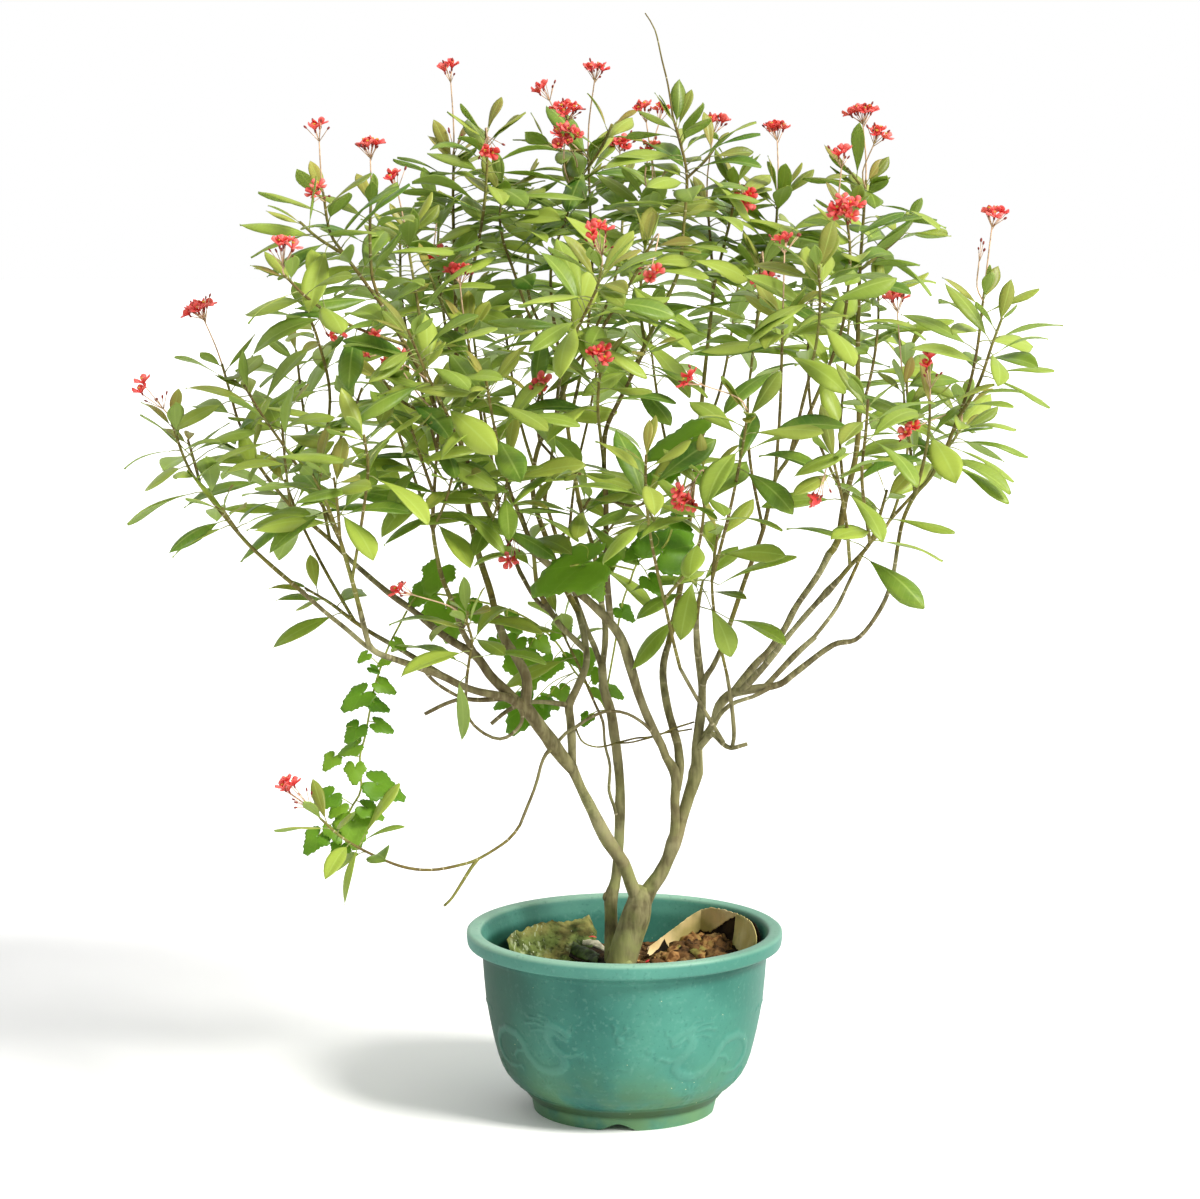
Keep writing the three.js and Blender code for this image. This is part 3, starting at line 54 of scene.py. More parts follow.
# The front view: places on the plant are noted as (across, down, depth), where across and down are read off
# the front view in its own steps and depth is in millimetres behind the pot's axis
VIEW_DISTANCE = 6000
VIEW_HEIGHT = 1761
VIEW_ASIDE = -43.4
VIEW_TILT = math.radians(8.06)
VIEW_FOCAL = 3464
VIEW_CENTRE = (600, 599.5)
VIEW_WIDTH = 1200
# How many millimetres one step of the view is at the plant
STEP = 1.77
# Depths are spread by this share in the crown, from this far down the view and over so many steps
CROWN_SPREAD = 0.6
CROWN_FROM = 760
CROWN_OVER = 260


def place(station):
    """The place in metres of a station, on the line of sight that it has in the front view."""
    across, down, flat_depth = station[:3]
    in_crown = min(max((CROWN_FROM - down) / CROWN_OVER, 0), 1)
    depth = flat_depth * (1 + CROWN_SPREAD * in_crown)
    right = (across - VIEW_CENTRE[0]) / VIEW_FOCAL
    up = (VIEW_CENTRE[1] - down) / VIEW_FOCAL
    forward = math.cos(VIEW_TILT) + up * math.sin(VIEW_TILT)
    rise = up * math.cos(VIEW_TILT) - math.sin(VIEW_TILT)
    reach = (VIEW_DISTANCE + depth) / forward
    return Vector((VIEW_ASIDE + right * reach, depth, VIEW_HEIGHT + rise * reach)) * MM


# The numbers of the simple generator that every random choice comes from
SEED_FACTOR = 7919
DRAW_FACTOR = 16807
DRAW_MODULUS = 2147483647


def seeded(seed):
    """A function that gives the next of a row of numbers from 0 to 1, always the same for one seed."""
    state = (seed * SEED_FACTOR) % DRAW_MODULUS

    def draw():
        nonlocal state
        state = (state * DRAW_FACTOR) % DRAW_MODULUS
        return state / DRAW_MODULUS

    return draw


def shoot(leaves, path, blooms=(), bare=()):
    """A leafy shoot: how many leaves it bears, its path, its blooms as (middle, flowers), and a bare tip."""
    return {"leaves": leaves, "path": path, "blooms": list(blooms), "bare": list(bare)}


# The bare wood: branches as lists of (across, down, depth, radius)
WOOD = {
    "trunk": [
        (614, 1012, 0, 28), (617, 985, 0, 27), (621, 964, 0, 25.5), (631, 932, 0, 24), (638, 910, 0, 24.5),
        (641, 893, 2, 20), (643, 886, 3, 12),
    ],
    "middle_stem": [
        (617, 1000, 12, 11), (611, 964, 30, 11), (611, 930, 42, 11), (611, 912, 46, 11),
        (611, 896, 48, 12.5), (616, 879, 50, 9.5), (619, 841, 50, 9.3), (620, 806, 52, 8.8),
        (620, 782, 52, 8.6), (617, 752, 52, 8.8), (614, 734, 54, 8.5), (611, 712, 56, 8.7),
        (604, 690, 58, 8), (602, 663, 60, 7),
    ],
    "main_left": [
        (641, 903, -2, 16), (633, 888, -4, 13), (626, 869, -10, 11.5), (620, 858, -15, 12),
        (609, 842, -24, 12.2), (599, 824, -34, 11.4), (590, 806, -43, 9.6), (581, 788, -50, 9),
        (576, 777, -54, 9.6), (571, 766, -56, 10.5),
    ],
    "low_left": [
        (573, 770, -55, 11), (563, 758, -62, 12), (554, 746, -70, 13), (541, 728, -85, 12.6),
        (527, 710, -98, 11.5), (515, 700, -106, 8),
    ],
    "left_bough": [
        (522, 706, -102, 8), (505, 697, -112, 7.5), (480, 692, -130, 7), (460, 685, -140, 6.5),
        (440, 675, -150, 6.5), (400, 661, -165, 5.6), (373, 650, -175, 5.2), (365, 630, -180, 4.8),
        (360, 610, -185, 4.5),
    ],
    "left_rise": [
        (520, 704, -102, 9), (505, 690, -98, 8.5), (490, 675, -90, 8.3), (475, 655, -80, 7.8),
        (447, 638, -62, 6.5), (415, 612, -40, 5.5), (385, 590, -22, 5), (350, 560, 0, 4.4),
    ],
    "left_upright": [
        (478, 659, -82, 5.5), (462, 630, -76, 4.9), (455, 608, -72, 4.6),
    ],
    "grey_stem": [
        (524, 707, -100, 9.5), (527, 680, -95, 9), (515, 655, -85, 8.2), (505, 640, -75, 7.5),
        (497, 620, -62, 6.5),
    ],
    "mid_left": [
        (572, 770, -55, 8.6), (572, 748, -45, 7.3), (571, 730, -34, 7.2), (570, 717, -26, 7.5),
        (569, 705, -20, 8.2), (575, 692, -14, 6.7), (580, 681, -9, 6.4), (584, 672, -4, 6.3),
        (587, 658, 3, 6.2), (583, 630, 14, 6), (578, 612, 20, 5.6),
    ],
    "brown_stem": [
        (586, 650, 8, 5.6), (570, 635, 5, 5.4), (560, 625, 0, 5.2), (545, 603, -8, 4.8),
    ],
    "grey_twig": [
        (551, 612, -5, 4.4), (535, 598, 14, 4.2), (520, 572, 30, 4),
    ],
    "far_left": [
        (377, 652, -173, 4.8), (365, 645, -170, 4.4), (345, 628, -160, 4), (325, 612, -150, 3.8),
        (300, 590, -140, 3.8),
    ],
    "second_left": [
        (442, 675, -148, 5), (410, 655, -120, 4.4), (375, 635, -85, 4),
    ],
    "cut_stub": [
        (568, 705, -20, 5), (545, 702, -38, 4.3), (525, 703, -55, 4.3), (507, 711, -72, 3.7),
        (491, 724, -80, 3.5),
    ],
    "arch": [
        (556, 744, -58, 3.2), (566, 733, -50, 2.9), (576, 727, -46, 2.9), (586, 720, -46, 2.8),
        (600, 713, -46, 2.8), (613, 711, -42, 2.8), (628, 714, -36, 2.8), (643, 723, -26, 2.8),
        (654, 734, -12, 2.9),
    ],
    "low_stub": [
        (507, 698, -111, 5), (480, 700, -100, 4.2), (462, 699, -90, 3.8), (445, 704, -82, 3.6),
        (425, 714, -75, 3.2),
    ],
    "strut": [
        (422, 668, -157, 3.2), (435, 682, -138, 3), (450, 692, -115, 3), (464, 699, -91, 3),
    ],
    "loop": [
        (518, 704, -104, 4.2), (522, 714, -111, 3.2), (521, 724, -116, 2.9), (512, 734, -120, 2.8),
        (500, 739, -124, 2.8), (485, 734, -132, 2.8), (470, 720, -142, 2.7), (466, 700, -156, 2.7),
        (467, 676, -166, 2.7),
    ],
    "sag": [
        (555, 746, -72, 5.5), (546, 754, -84, 3.6), (541, 765, -96, 2.9), (538, 777, -104, 2.8),
        (534, 790, -112, 2.7), (528, 805, -125, 2.6), (520, 825, -140, 2.6),
    ],
    "back_stem": [
        (602, 668, 60, 5.6), (595, 648, 68, 5.2), (588, 632, 78, 4.8), (578, 605, 95, 4.4),
    ],
    "crown_stem": [
        (602, 668, 60, 6), (605, 645, 62, 5.6), (605, 625, 66, 5.2), (601, 600, 72, 5), (597, 568, 82, 4.6),
    ],
    "thin_twig": [
        (619, 826, 50, 3.6), (614, 806, 42, 2.8), (609, 791, 38, 3), (610, 766, 34, 2.6),
        (605, 745, 30, 2.5), (603, 722, 26, 2.5), (597, 708, 18, 2.5),
    ],
    "main_right": [
        (641, 906, 2, 18), (650, 888, 5, 14), (659, 876, 8, 12.4), (668, 858, 11, 12), (673, 844, 13, 13.2),
        (679, 827, 16, 11.4), (684, 811, 20, 10.4), (689, 795, 23, 10.8), (694, 782, 26, 11.6),
        (696, 773, 28, 13.4), (697, 763, 29, 10.8), (697, 750, 31, 10.2), (698, 738, 32, 9.4),
        (699, 728, 33, 9), (701, 710, 34, 8.6), (702, 690, 34, 7.3), (700, 670, 28, 6.5), (697, 645, 12, 6),
        (696, 618, -12, 5.4),
    ],
    "cross_stem": [
        (671, 848, 10, 8), (675, 828, 4, 8.6), (675, 800, -4, 8.2), (676, 784, -6, 8.6),
        (674, 770, -6, 9.6), (666, 757, -8, 7.6), (662, 746, -9, 7.4), (653, 729, -12, 7.6),
        (640, 698, -25, 7.8), (630, 665, -38, 8.6), (622, 640, -46, 8.5), (608, 620, -52, 8),
        (590, 602, -56, 7.4), (572, 587, -58, 6.8), (555, 570, -60, 6.2), (535, 553, -62, 5.6),
    ],
    "dark_upright": [
        (611, 624, -50, 6.2), (607, 580, -52, 5.6), (606, 540, -54, 5),
    ],
    "right_inner": [
        (677, 790, -4, 7), (679, 778, 0, 7.4), (680, 766, 4, 7.6), (679, 757, 9, 8), (678, 746, 16, 7.2),
        (674, 731, 32, 7.2), (667, 705, 56, 7.3), (663, 678, 78, 7), (664, 660, 86, 6.5), (668, 645, 92, 6),
    ],
    "right_fork": [
        (702, 696, 34, 6.4), (704, 680, 28, 5.8), (712, 668, 20, 5.2), (720, 652, 12, 4.7),
    ],
    "right_bough": [
        (698, 740, 32, 8), (707, 733, 27, 6.6), (714, 722, 20, 7.4), (719, 706, 14, 8.4),
        (728, 696, 12, 8.6), (738, 690, 6, 8),
    ],
    "outer_right": [
        (733, 693, 9, 8), (760, 688, 0, 7.4), (780, 684, -8, 6.4), (795, 673, -14, 5.6),
        (825, 650, -26, 5.4), (838, 643, -32, 4.8), (855, 640, -38, 4.2), (870, 625, -44, 3.9),
        (885, 600, -52, 3.8), (893, 575, -58, 3.8), (897, 550, -64, 3.8),
    ],
    "knotted_right": [
        (733, 693, 11, 7.4), (755, 665, 40, 6.6), (770, 650, 60, 6.3), (785, 628, 80, 6),
        (797, 605, 98, 5.8), (818, 575, 120, 5.6), (829, 554, 130, 6.6),
    ],
    "low_right": [
        (742, 690, 2, 6.4), (765, 665, -30, 5.6), (785, 640, -55, 5), (800, 622, -72, 4.6),
        (815, 605, -86, 4.6), (827, 592, -96, 6.6), (840, 578, -106, 4.4),
    ],
    "cut_right": [
        (765, 687, -2, 5.6), (795, 655, 25, 5.2), (815, 637, 42, 5),
    ],
    "thin_right": [
        (811, 641, 38, 3.8), (835, 610, 60, 3.4), (850, 580, 78, 3.2),
    ],
    "hooked_stub": [
        (698, 749, 30, 6.6), (704, 742, 14, 6.2), (713, 734, -4, 5), (722, 743, -14, 4.6),
        (731, 748, -20, 4.4), (747, 744, -28, 3.8),
    ],
    "light_branch": [
        (700, 748, 27, 5), (712, 728, 8, 4.2), (723, 711, -6, 4), (736, 702, -12, 3.8),
        (752, 697, -14, 3.6), (772, 687, -8, 3.4),
    ],
    "hanging_twig": [
        (723, 742, -14, 4), (710, 720, -45, 3.6), (695, 695, -65, 3.4), (680, 668, -80, 3.2),
    ],
    "rising_twig": [
        (732, 748, -20, 4), (734, 733, -32, 3.6), (731, 700, -45, 3.4), (727, 675, -54, 3.2),
    ],
}

# Leafy sprays. Each grows on from the end of the bare branch it is named after.
SPRAYS = {
    "far_left": [
        shoot(13, [
            (265, 560, -125), (240, 535, -115), (200, 485, -100), (185, 460, -94), (171, 420, -90),
        ], blooms=[((150, 378, -100), 1)]),
        shoot(6, [(240, 535, -115), (230, 520, -140), (222, 508, -155)]),
        shoot(6, [(200, 485, -100), (196, 468, -60), (188, 440, -20)]),
    ],
    "second_left": [
        shoot(7, [(355, 622, -65), (330, 603, -45), (305, 588, -30)]),
        shoot(9, [(355, 622, -65), (325, 570, -10), (300, 520, 40), (285, 480, 80)]),
    ],
    "left_bough": [
        shoot(9, [(352, 580, -195), (340, 540, -210), (325, 500, -225), (310, 470, -240)]),
        shoot(12, [
            (340, 540, -210), (322, 505, -170), (290, 455, -140), (262, 415, -115), (244, 385, -100),
        ]),
        shoot(9, [(340, 540, -210), (338, 510, -240), (334, 478, -270)]),
        shoot(9, [(352, 580, -195), (362, 520, -230), (368, 470, -265), (364, 435, -290)]),
    ],
    "left_rise": [
        shoot(11, [(330, 540, 12), (290, 505, 30), (270, 480, 42), (246, 452, 52)]),
        shoot(10, [
            (290, 505, 30), (262, 470, 5), (240, 425, -25), (230, 392, -40), (222, 364, -48),
        ], blooms=[((198, 305, -60), 4)]),
        shoot(13, [(330, 540, 12), (318, 480, 60), (305, 420, 110), (296, 350, 150)]),
        shoot(12, [
            (318, 480, 60), (330, 400, 60), (318, 340, 55), (304, 306, 50),
        ], blooms=[((342, 322, 30), 1)]),
    ],
    "left_upright": [
        shoot(14, [
            (447, 590, -70), (440, 570, -74), (433, 530, -84), (434, 495, -98), (437, 450, -118),
            (440, 405, -135),
        ], blooms=[((368, 341, -175), 4), ((391, 357, -150), 2)]),
        shoot(11, [(433, 530, -84), (415, 480, -60), (398, 430, -30), (392, 398, -10)]),
        shoot(10, [(434, 495, -98), (420, 455, -150), (412, 430, -185)]),
    ],
    "grey_stem": [
        shoot(18, [
            (490, 590, -42), (478, 552, -20), (468, 505, 10), (462, 455, 35), (458, 395, 60),
            (456, 330, 80), (455, 270, 95), (453, 205, 105), (454, 152, 110),
        ], blooms=[((450, 66, 90), 1), ((455, 117, 106), 0)]),
        shoot(14, [
            (456, 330, 80), (470, 280, 60), (482, 222, 48), (487, 168, 40), (486, 128, 35),
        ], blooms=[((489, 140, 5), 1)]),
        shoot(14, [(468, 505, 10), (440, 440, 90), (415, 370, 160), (402, 300, 205), (400, 240, 230)]),
        shoot(12, [
            (458, 395, 60), (446, 330, 130), (438, 262, 190), (440, 205, 225),
        ], blooms=[((433, 252, 120), 1)]),
    ],
    "brown_stem": [
        shoot(9, [
            (537, 585, -16), (533, 550, -26), (527, 530, -34), (521, 512, -40),
        ], blooms=[((505, 557, -70), 1)]),
        shoot(12, [(533, 550, -26), (510, 490, -120), (495, 430, -200), (486, 380, -250)]),
    ],
    "grey_twig": [
        shoot(13, [
            (512, 552, 40), (500, 515, 30), (487, 455, 5), (477, 390, -15), (465, 325, -30),
        ], blooms=[((458, 268, -40), 3)]),
        shoot(12, [(500, 515, 30), (492, 460, 130), (482, 400, 210), (474, 340, 260), (470, 300, 290)]),
    ],
    "mid_left": [
        shoot(16, [
            (563, 583, 30), (550, 548, 22), (535, 505, 10), (533, 475, 2), (540, 442, -8), (556, 415, -20),
            (572, 368, -40), (592, 345, -52), (606, 322, -62), (632, 280, -78), (653, 240, -90),
        ], blooms=[((652, 270, -190), 1)]),
        shoot(15, [
            (540, 442, -8), (542, 400, 20), (538, 340, 45), (525, 305, 55), (515, 275, 60), (503, 240, 62),
            (500, 215, 62), (504, 182, 60),
        ]),
        shoot(13, [
            (556, 415, -20), (560, 380, -110), (575, 335, -190), (596, 290, -240), (602, 265, -255),
        ], blooms=[((600, 224, -270), 3)]),
        shoot(9, [(540, 442, -8), (536, 415, -60), (540, 392, -90)], blooms=[((539, 381, -150), 1)]),
    ],
    "back_stem": [
        shoot(13, [(566, 568, 120), (545, 500, 190), (520, 420, 260), (505, 330, 310)]),
        shoot(13, [(545, 500, 190), (560, 400, 280), (572, 320, 330), (580, 260, 350)]),
        shoot(12, [(566, 568, 120), (575, 480, 240), (590, 410, 330), (600, 350, 390)]),
    ],
    "crown_stem": [
        shoot(14, [
            (591, 540, 92), (580, 505, 104), (568, 430, 130), (560, 360, 145), (552, 305, 148),
            (552, 260, 145), (566, 218, 138), (576, 184, 132),
        ], blooms=[((565, 132, 60), 4), ((565, 106, 95), 4)]),
        shoot(14, [
            (568, 430, 130), (585, 350, 170), (592, 270, 190), (590, 205, 195), (588, 150, 190),
        ], blooms=[((596, 66, 150), 2), ((541, 87, 190), 1)]),
        shoot(12, [(560, 360, 145), (530, 300, 210), (528, 240, 240), (524, 190, 250)]),
        shoot(12, [
            (585, 350, 170), (612, 290, 240), (622, 230, 270), (620, 185, 280),
        ], blooms=[((620, 139, 240), 2)]),
    ],
    "thin_twig": [
        shoot(7, [(589, 690, 24), (580, 668, 36), (566, 640, 46), (556, 614, 46)]),
    ],
    "cross_stem": [
        shoot(15, [
            (515, 538, -64), (500, 530, -68), (488, 510, -74), (475, 480, -84), (455, 445, -96),
            (440, 420, -104), (425, 380, -112), (405, 345, -118), (385, 310, -122), (345, 255, -128),
            (330, 232, -130), (323, 192, -132),
        ], blooms=[((318, 124, -140), 1), ((312, 178, -165), 1)]),
        shoot(13, [
            (385, 310, -122), (373, 280, -110), (370, 240, -100), (371, 198, -92),
        ], blooms=[((370, 141, -85), 3)]),
        shoot(11, [(345, 255, -128), (318, 238, -165), (300, 222, -190)]),
        shoot(13, [
            (405, 345, -118), (350, 325, -180), (310, 300, -215), (284, 275, -235),
        ], blooms=[((282, 240, -245), 2)]),
        shoot(13, [(475, 480, -84), (450, 420, -190), (425, 370, -250), (408, 330, -280)]),
        shoot(12, [
            (425, 380, -112), (420, 320, -60), (412, 270, -30), (405, 228, -15),
        ], blooms=[((394, 174, -20), 1)]),
    ],
    "dark_upright": [
        shoot(16, [
            (606, 500, -58), (604, 465, -62), (606, 430, -66), (622, 395, -60), (645, 345, -42),
            (664, 305, -28), (679, 270, -18), (683, 235, -12), (687, 178, -4), (680, 142, 0), (673, 118, 2),
        ], bare=[(668, 85, 4), (662, 60, 5), (655, 30, 6), (645, 13, 6)]),
        shoot(9, [(622, 395, -60), (634, 372, -110), (645, 350, -150)]),
        shoot(8, [(604, 465, -62), (598, 410, -150), (600, 372, -190)], blooms=[((600, 343, -210), 2)]),
        shoot(13, [
            (645, 345, -42), (640, 300, 30), (646, 240, 70), (652, 195, 90),
        ], blooms=[((645, 106, 80), 1), ((661, 107, 110), 1), ((653, 145, 60), 1)]),
    ],
    "right_inner": [
        shoot(15, [
            (675, 615, 105), (684, 565, 118), (690, 515, 130), (697, 450, 142), (705, 370, 150),
            (713, 290, 152), (711, 250, 150), (707, 200, 146),
        ], blooms=[((715, 118, 150), 3)]),
        shoot(13, [
            (713, 290, 152), (724, 245, 130), (732, 212, 120), (736, 180, 112),
        ], blooms=[((748, 184, 70), 2)]),
        shoot(11, [(690, 515, 130), (668, 450, 230), (655, 380, 300), (648, 310, 340)]),
        shoot(11, [(697, 450, 142), (720, 390, 260), (732, 330, 320), (738, 285, 345)]),
    ],
    "main_right": [
        shoot(4, [(699, 600, -34), (703, 580, -52)]),
    ],
    "hanging_twig": [
        shoot(10, [
            (673, 640, -118), (664, 600, -172), (652, 545, -215), (646, 495, -255), (646, 455, -275),
        ]),
        shoot(10, [
            (664, 600, -172), (694, 560, -214), (704, 510, -238), (704, 470, -250),
        ], blooms=[((677, 490, -275), 4)]),
    ],
    "rising_twig": [
        shoot(7, [(716, 625, -78), (712, 580, -92), (717, 540, -104), (718, 528, -108)]),
        shoot(11, [
            (712, 580, -92), (730, 510, -170), (742, 450, -235), (748, 410, -270),
        ], blooms=[((687, 377, -280), 1)]),
    ],
    "right_fork": [
        shoot(16, [
            (728, 630, 6), (745, 580, -10), (763, 530, -22), (775, 480, -30), (790, 455, -36),
            (815, 400, -46), (840, 335, -54), (848, 290, -58), (850, 250, -60), (846, 212, -62),
        ], blooms=[((845, 190, -110), 4), ((840, 151, -70), 1)]),
        shoot(12, [
            (763, 530, -22), (750, 460, 30), (748, 400, 55), (757, 320, 70), (761, 258, 74),
        ], blooms=[((765, 279, -10), 2)]),
        shoot(9, [
            (775, 480, -30), (780, 410, -110), (782, 345, -160), (783, 310, -180),
        ], blooms=[((785, 236, -170), 1)]),
        shoot(12, [
            (757, 320, 70), (770, 265, 120), (776, 225, 140), (778, 190, 148),
        ], blooms=[((777, 125, 160), 2)]),
        shoot(9, [(790, 455, -36), (815, 350, -150), (820, 300, -190), (818, 262, -205)]),
    ],
    "outer_right": [
        shoot(18, [
            (903, 520, -74), (915, 495, -84), (930, 478, -88), (945, 450, -94), (957, 420, -98),
            (968, 390, -100), (977, 350, -100), (984, 292, -100),
        ], blooms=[((994, 210, -105), 3), ((978, 247, -130), 0)]),
        shoot(9, [(957, 420, -98), (978, 385, -150), (992, 345, -180), (1002, 318, -195)]),
        shoot(9, [
            (915, 495, -84), (924, 460, -120), (929, 430, -145), (930, 400, -165),
        ], blooms=[((931, 356, -185), 1)]),
        shoot(11, [
            (915, 495, -84), (911, 455, -50), (906, 420, -35), (903, 385, -25),
        ], blooms=[((896, 295, -30), 2)]),
        shoot(7, [(945, 450, -94), (955, 438, -60), (962, 425, -40)], blooms=[((908, 428, -200), 1)]),
    ],
    "knotted_right": [
        shoot(22, [
            (838, 540, 132), (845, 500, 130), (855, 460, 126), (859, 420, 122), (858, 380, 118),
            (858, 330, 112), (860, 270, 106), (863, 225, 100), (866, 180, 96),
        ], blooms=[((862, 108, 95), 4), ((877, 130, 60), 2)]),
        shoot(11, [(845, 500, 130), (840, 440, 200), (845, 370, 250), (850, 310, 280)]),
        shoot(11, [(859, 420, 122), (872, 370, 150), (878, 325, 160), (878, 285, 165)]),
        shoot(12, [(860, 270, 106), (885, 250, 130), (902, 235, 142), (912, 222, 150)]),
        shoot(10, [
            (845, 500, 130), (815, 430, 170), (808, 360, 190), (812, 300, 200),
        ], blooms=[((812, 287, 150), 0)]),
    ],
    "low_right": [
        shoot(10, [(850, 566, -112), (870, 543, -126), (880, 515, -136), (887, 490, -142)]),
        shoot(9, [
            (850, 566, -112), (846, 520, -190), (838, 480, -240), (832, 455, -265),
        ], blooms=[((812, 498, -275), 1)]),
        shoot(9, [(870, 543, -126), (862, 480, -220), (866, 430, -275), (868, 400, -300)]),
    ],
    "thin_right": [
        shoot(13, [(866, 548, 96), (890, 520, 130), (905, 470, 170), (908, 420, 200), (905, 350, 220)]),
        shoot(11, [(890, 520, 130), (925, 480, 110), (950, 440, 90), (965, 405, 80)]),
    ],
    "loop": [
        shoot(10, [(470, 655, -172), (472, 640, -178), (466, 620, -190)], blooms=[((398, 588, -200), 1)]),
    ],
    "sag": [
        shoot(9, [
            (508, 840, -155), (480, 858, -178), (460, 865, -192), (430, 870, -212), (400, 866, -230),
            (365, 851, -246), (340, 836, -254), (320, 818, -258),
        ], blooms=[((293, 778, -262), 2)]),
        shoot(0, [
            (478, 859, -179), (471, 868, -184), (461, 884, -190), (452, 898, -194), (444, 906, -196),
        ]),
    ],
}

# Large leaves that stand out, by spray: the foot and tip of the blade, and its width in
# millimetres
LARGE_LEAVES = {
    "main_right": [
        ((719, 585, -70), (797, 559, -95), 40), ((706, 578, -50), (742, 548, -10), 36),
        ((697, 579, -60), (646, 572, -85), 38), ((693, 582, -52), (630, 594, -60), 40),
        ((678, 594, -45), (637, 622, -75), 40), ((692, 584, -70), (684, 642, -100), 42),
        ((672, 622, -40), (634, 672, -62), 46), ((712, 610, -85), (729, 658, -112), 52),
        ((731, 620, -45), (785, 646, -95), 44),
    ],
    "mid_left": [((640, 338, -90), (687, 400, -130), 40), ((560, 318, -90), (600, 378, -120), 42)],
    "right_fork": [((783, 309, 40), (827, 365, 10), 42), ((820, 372, -70), (838, 424, -100), 40)],
    "loop": [((459, 684, -196), (463, 742, -212), 30)],
    "sag": [((357, 850, -250), (346, 906, -262), 20), ((362, 842, -250), (405, 828, -262), 20)],
    "outer_right": [((957, 409, -110), (1014, 408, -135), 36), ((992, 374, -112), (1055, 372, -130), 36)],
    "knotted_right": [((884, 206, 80), (941, 231, 60), 42)],
    "left_bough": [((330, 458, -225), (286, 476, -255), 44)],
    "left_upright": [((433, 384, -150), (377, 397, -170), 42)],
    "left_rise": [((271, 398, -60), (246, 440, -90), 42)],
    "far_left": [((228, 442, -110), (184, 451, -130), 34)],
    "crown_stem": [((586, 200, 40), (510, 199, 20), 44)],
}

# The vine: stems as lists of (across, down, depth), leaves as (across, down, depth, width, tilt)
VINE = {
    "vine_stem": {
        "stems": [[
            (612, 992, 74), (612, 950, 76), (612, 900, 78), (617, 850, 77), (620, 800, 76), (616, 750, 84),
            (606, 710, 102), (592, 690, 112), (575, 672, 118), (556, 642, 100), (530, 620, 72),
            (498, 606, 50), (460, 598, 34), (436, 594, 10), (418, 596, -20), (409, 606, -62),
        ]],
        "leaves": [
            (523, 661, 72, 42, 0.2), (530, 704, 100, 48, -0.4), (446, 608, 20, 48, 0.1),
            (439, 571, -16, 36, -0.3), (584, 656, 118, 28, 0.1),
        ],
    },
    "vine_hanging": {
        "stems": [[
            (407, 611, -68), (399, 626, -90), (388, 648, -118), (376, 682, -160), (370, 710, -172),
            (365, 737, -182), (360, 757, -187), (361, 789, -196), (353, 805, -203), (346, 818, -206),
        ]],
        "leaves": [
            (381, 684, -166, 22, 0.9), (362, 694, -176, 32, -0.7), (378, 724, -186, 22, 1.2),
            (357, 728, -190, 24, -0.4), (333, 758, -198, 20, -0.4), (355, 768, -200, 22, 0),
            (377, 784, -206, 40, 1.2), (330, 796, -214, 28, -0.6), (353, 820, -214, 38, 0.1),
        ],
    },
    "vine_runner": {
        "stems": [
            [
                (607, 688, 98), (614, 650, 100), (622, 605, 70), (630, 582, -20), (634, 570, -80),
                (640, 560, -98), (654, 554, -104), (668, 540, -108), (680, 500, -112), (694, 446, -118),
            ],
            [(634, 570, -80), (610, 565, -108), (584, 564, -122), (570, 566, -126)],
        ],
        "leaves": [
            (583, 565, -128, 74, -1.35), (662, 552, -112, 60, 2.5), (692, 438, -124, 62, -1.5),
            (592, 582, -122, 28, 0.3),
        ],
    },
}


def mix(a, b, share):
    return a + (b - a) * share


def smooth(low, high, value):
    share = min(max((value - low) / (high - low), 0), 1)
    return share * share * (3 - 2 * share)


def placed(stations):
    return [place(station) for station in stations]


def on_ring(radius, turn):
    """Across and depth of a place round the pot's axis, at a turn counted from the front."""
    return radius * math.sin(turn), -radius * math.cos(turn)


def turns_of(count):
    return [k / count * TAU for k in range(count)]


def turned(way, axis, angle):
    result = way.copy()
    result.rotate(Quaternion(axis, angle))
    return result


def bumpy(x, y, size, layer):
    """Smooth noise from about -1 to 1, in bumps of about this size."""
    return noise.noise(Vector((x / size, y / size, layer)))


def colour(red, green, blue):
    """A colour in screen values from 0 to 255, as the linear values that the shaders take."""
    steps = [c / 255 for c in (red, green, blue)]
    return [c / 12.92 if c <= 0.04045 else ((c + 0.055) / 1.055) ** 2.4 for c in steps] + [1]


# Shaders
AXES = {"side": 0, "height": 2}


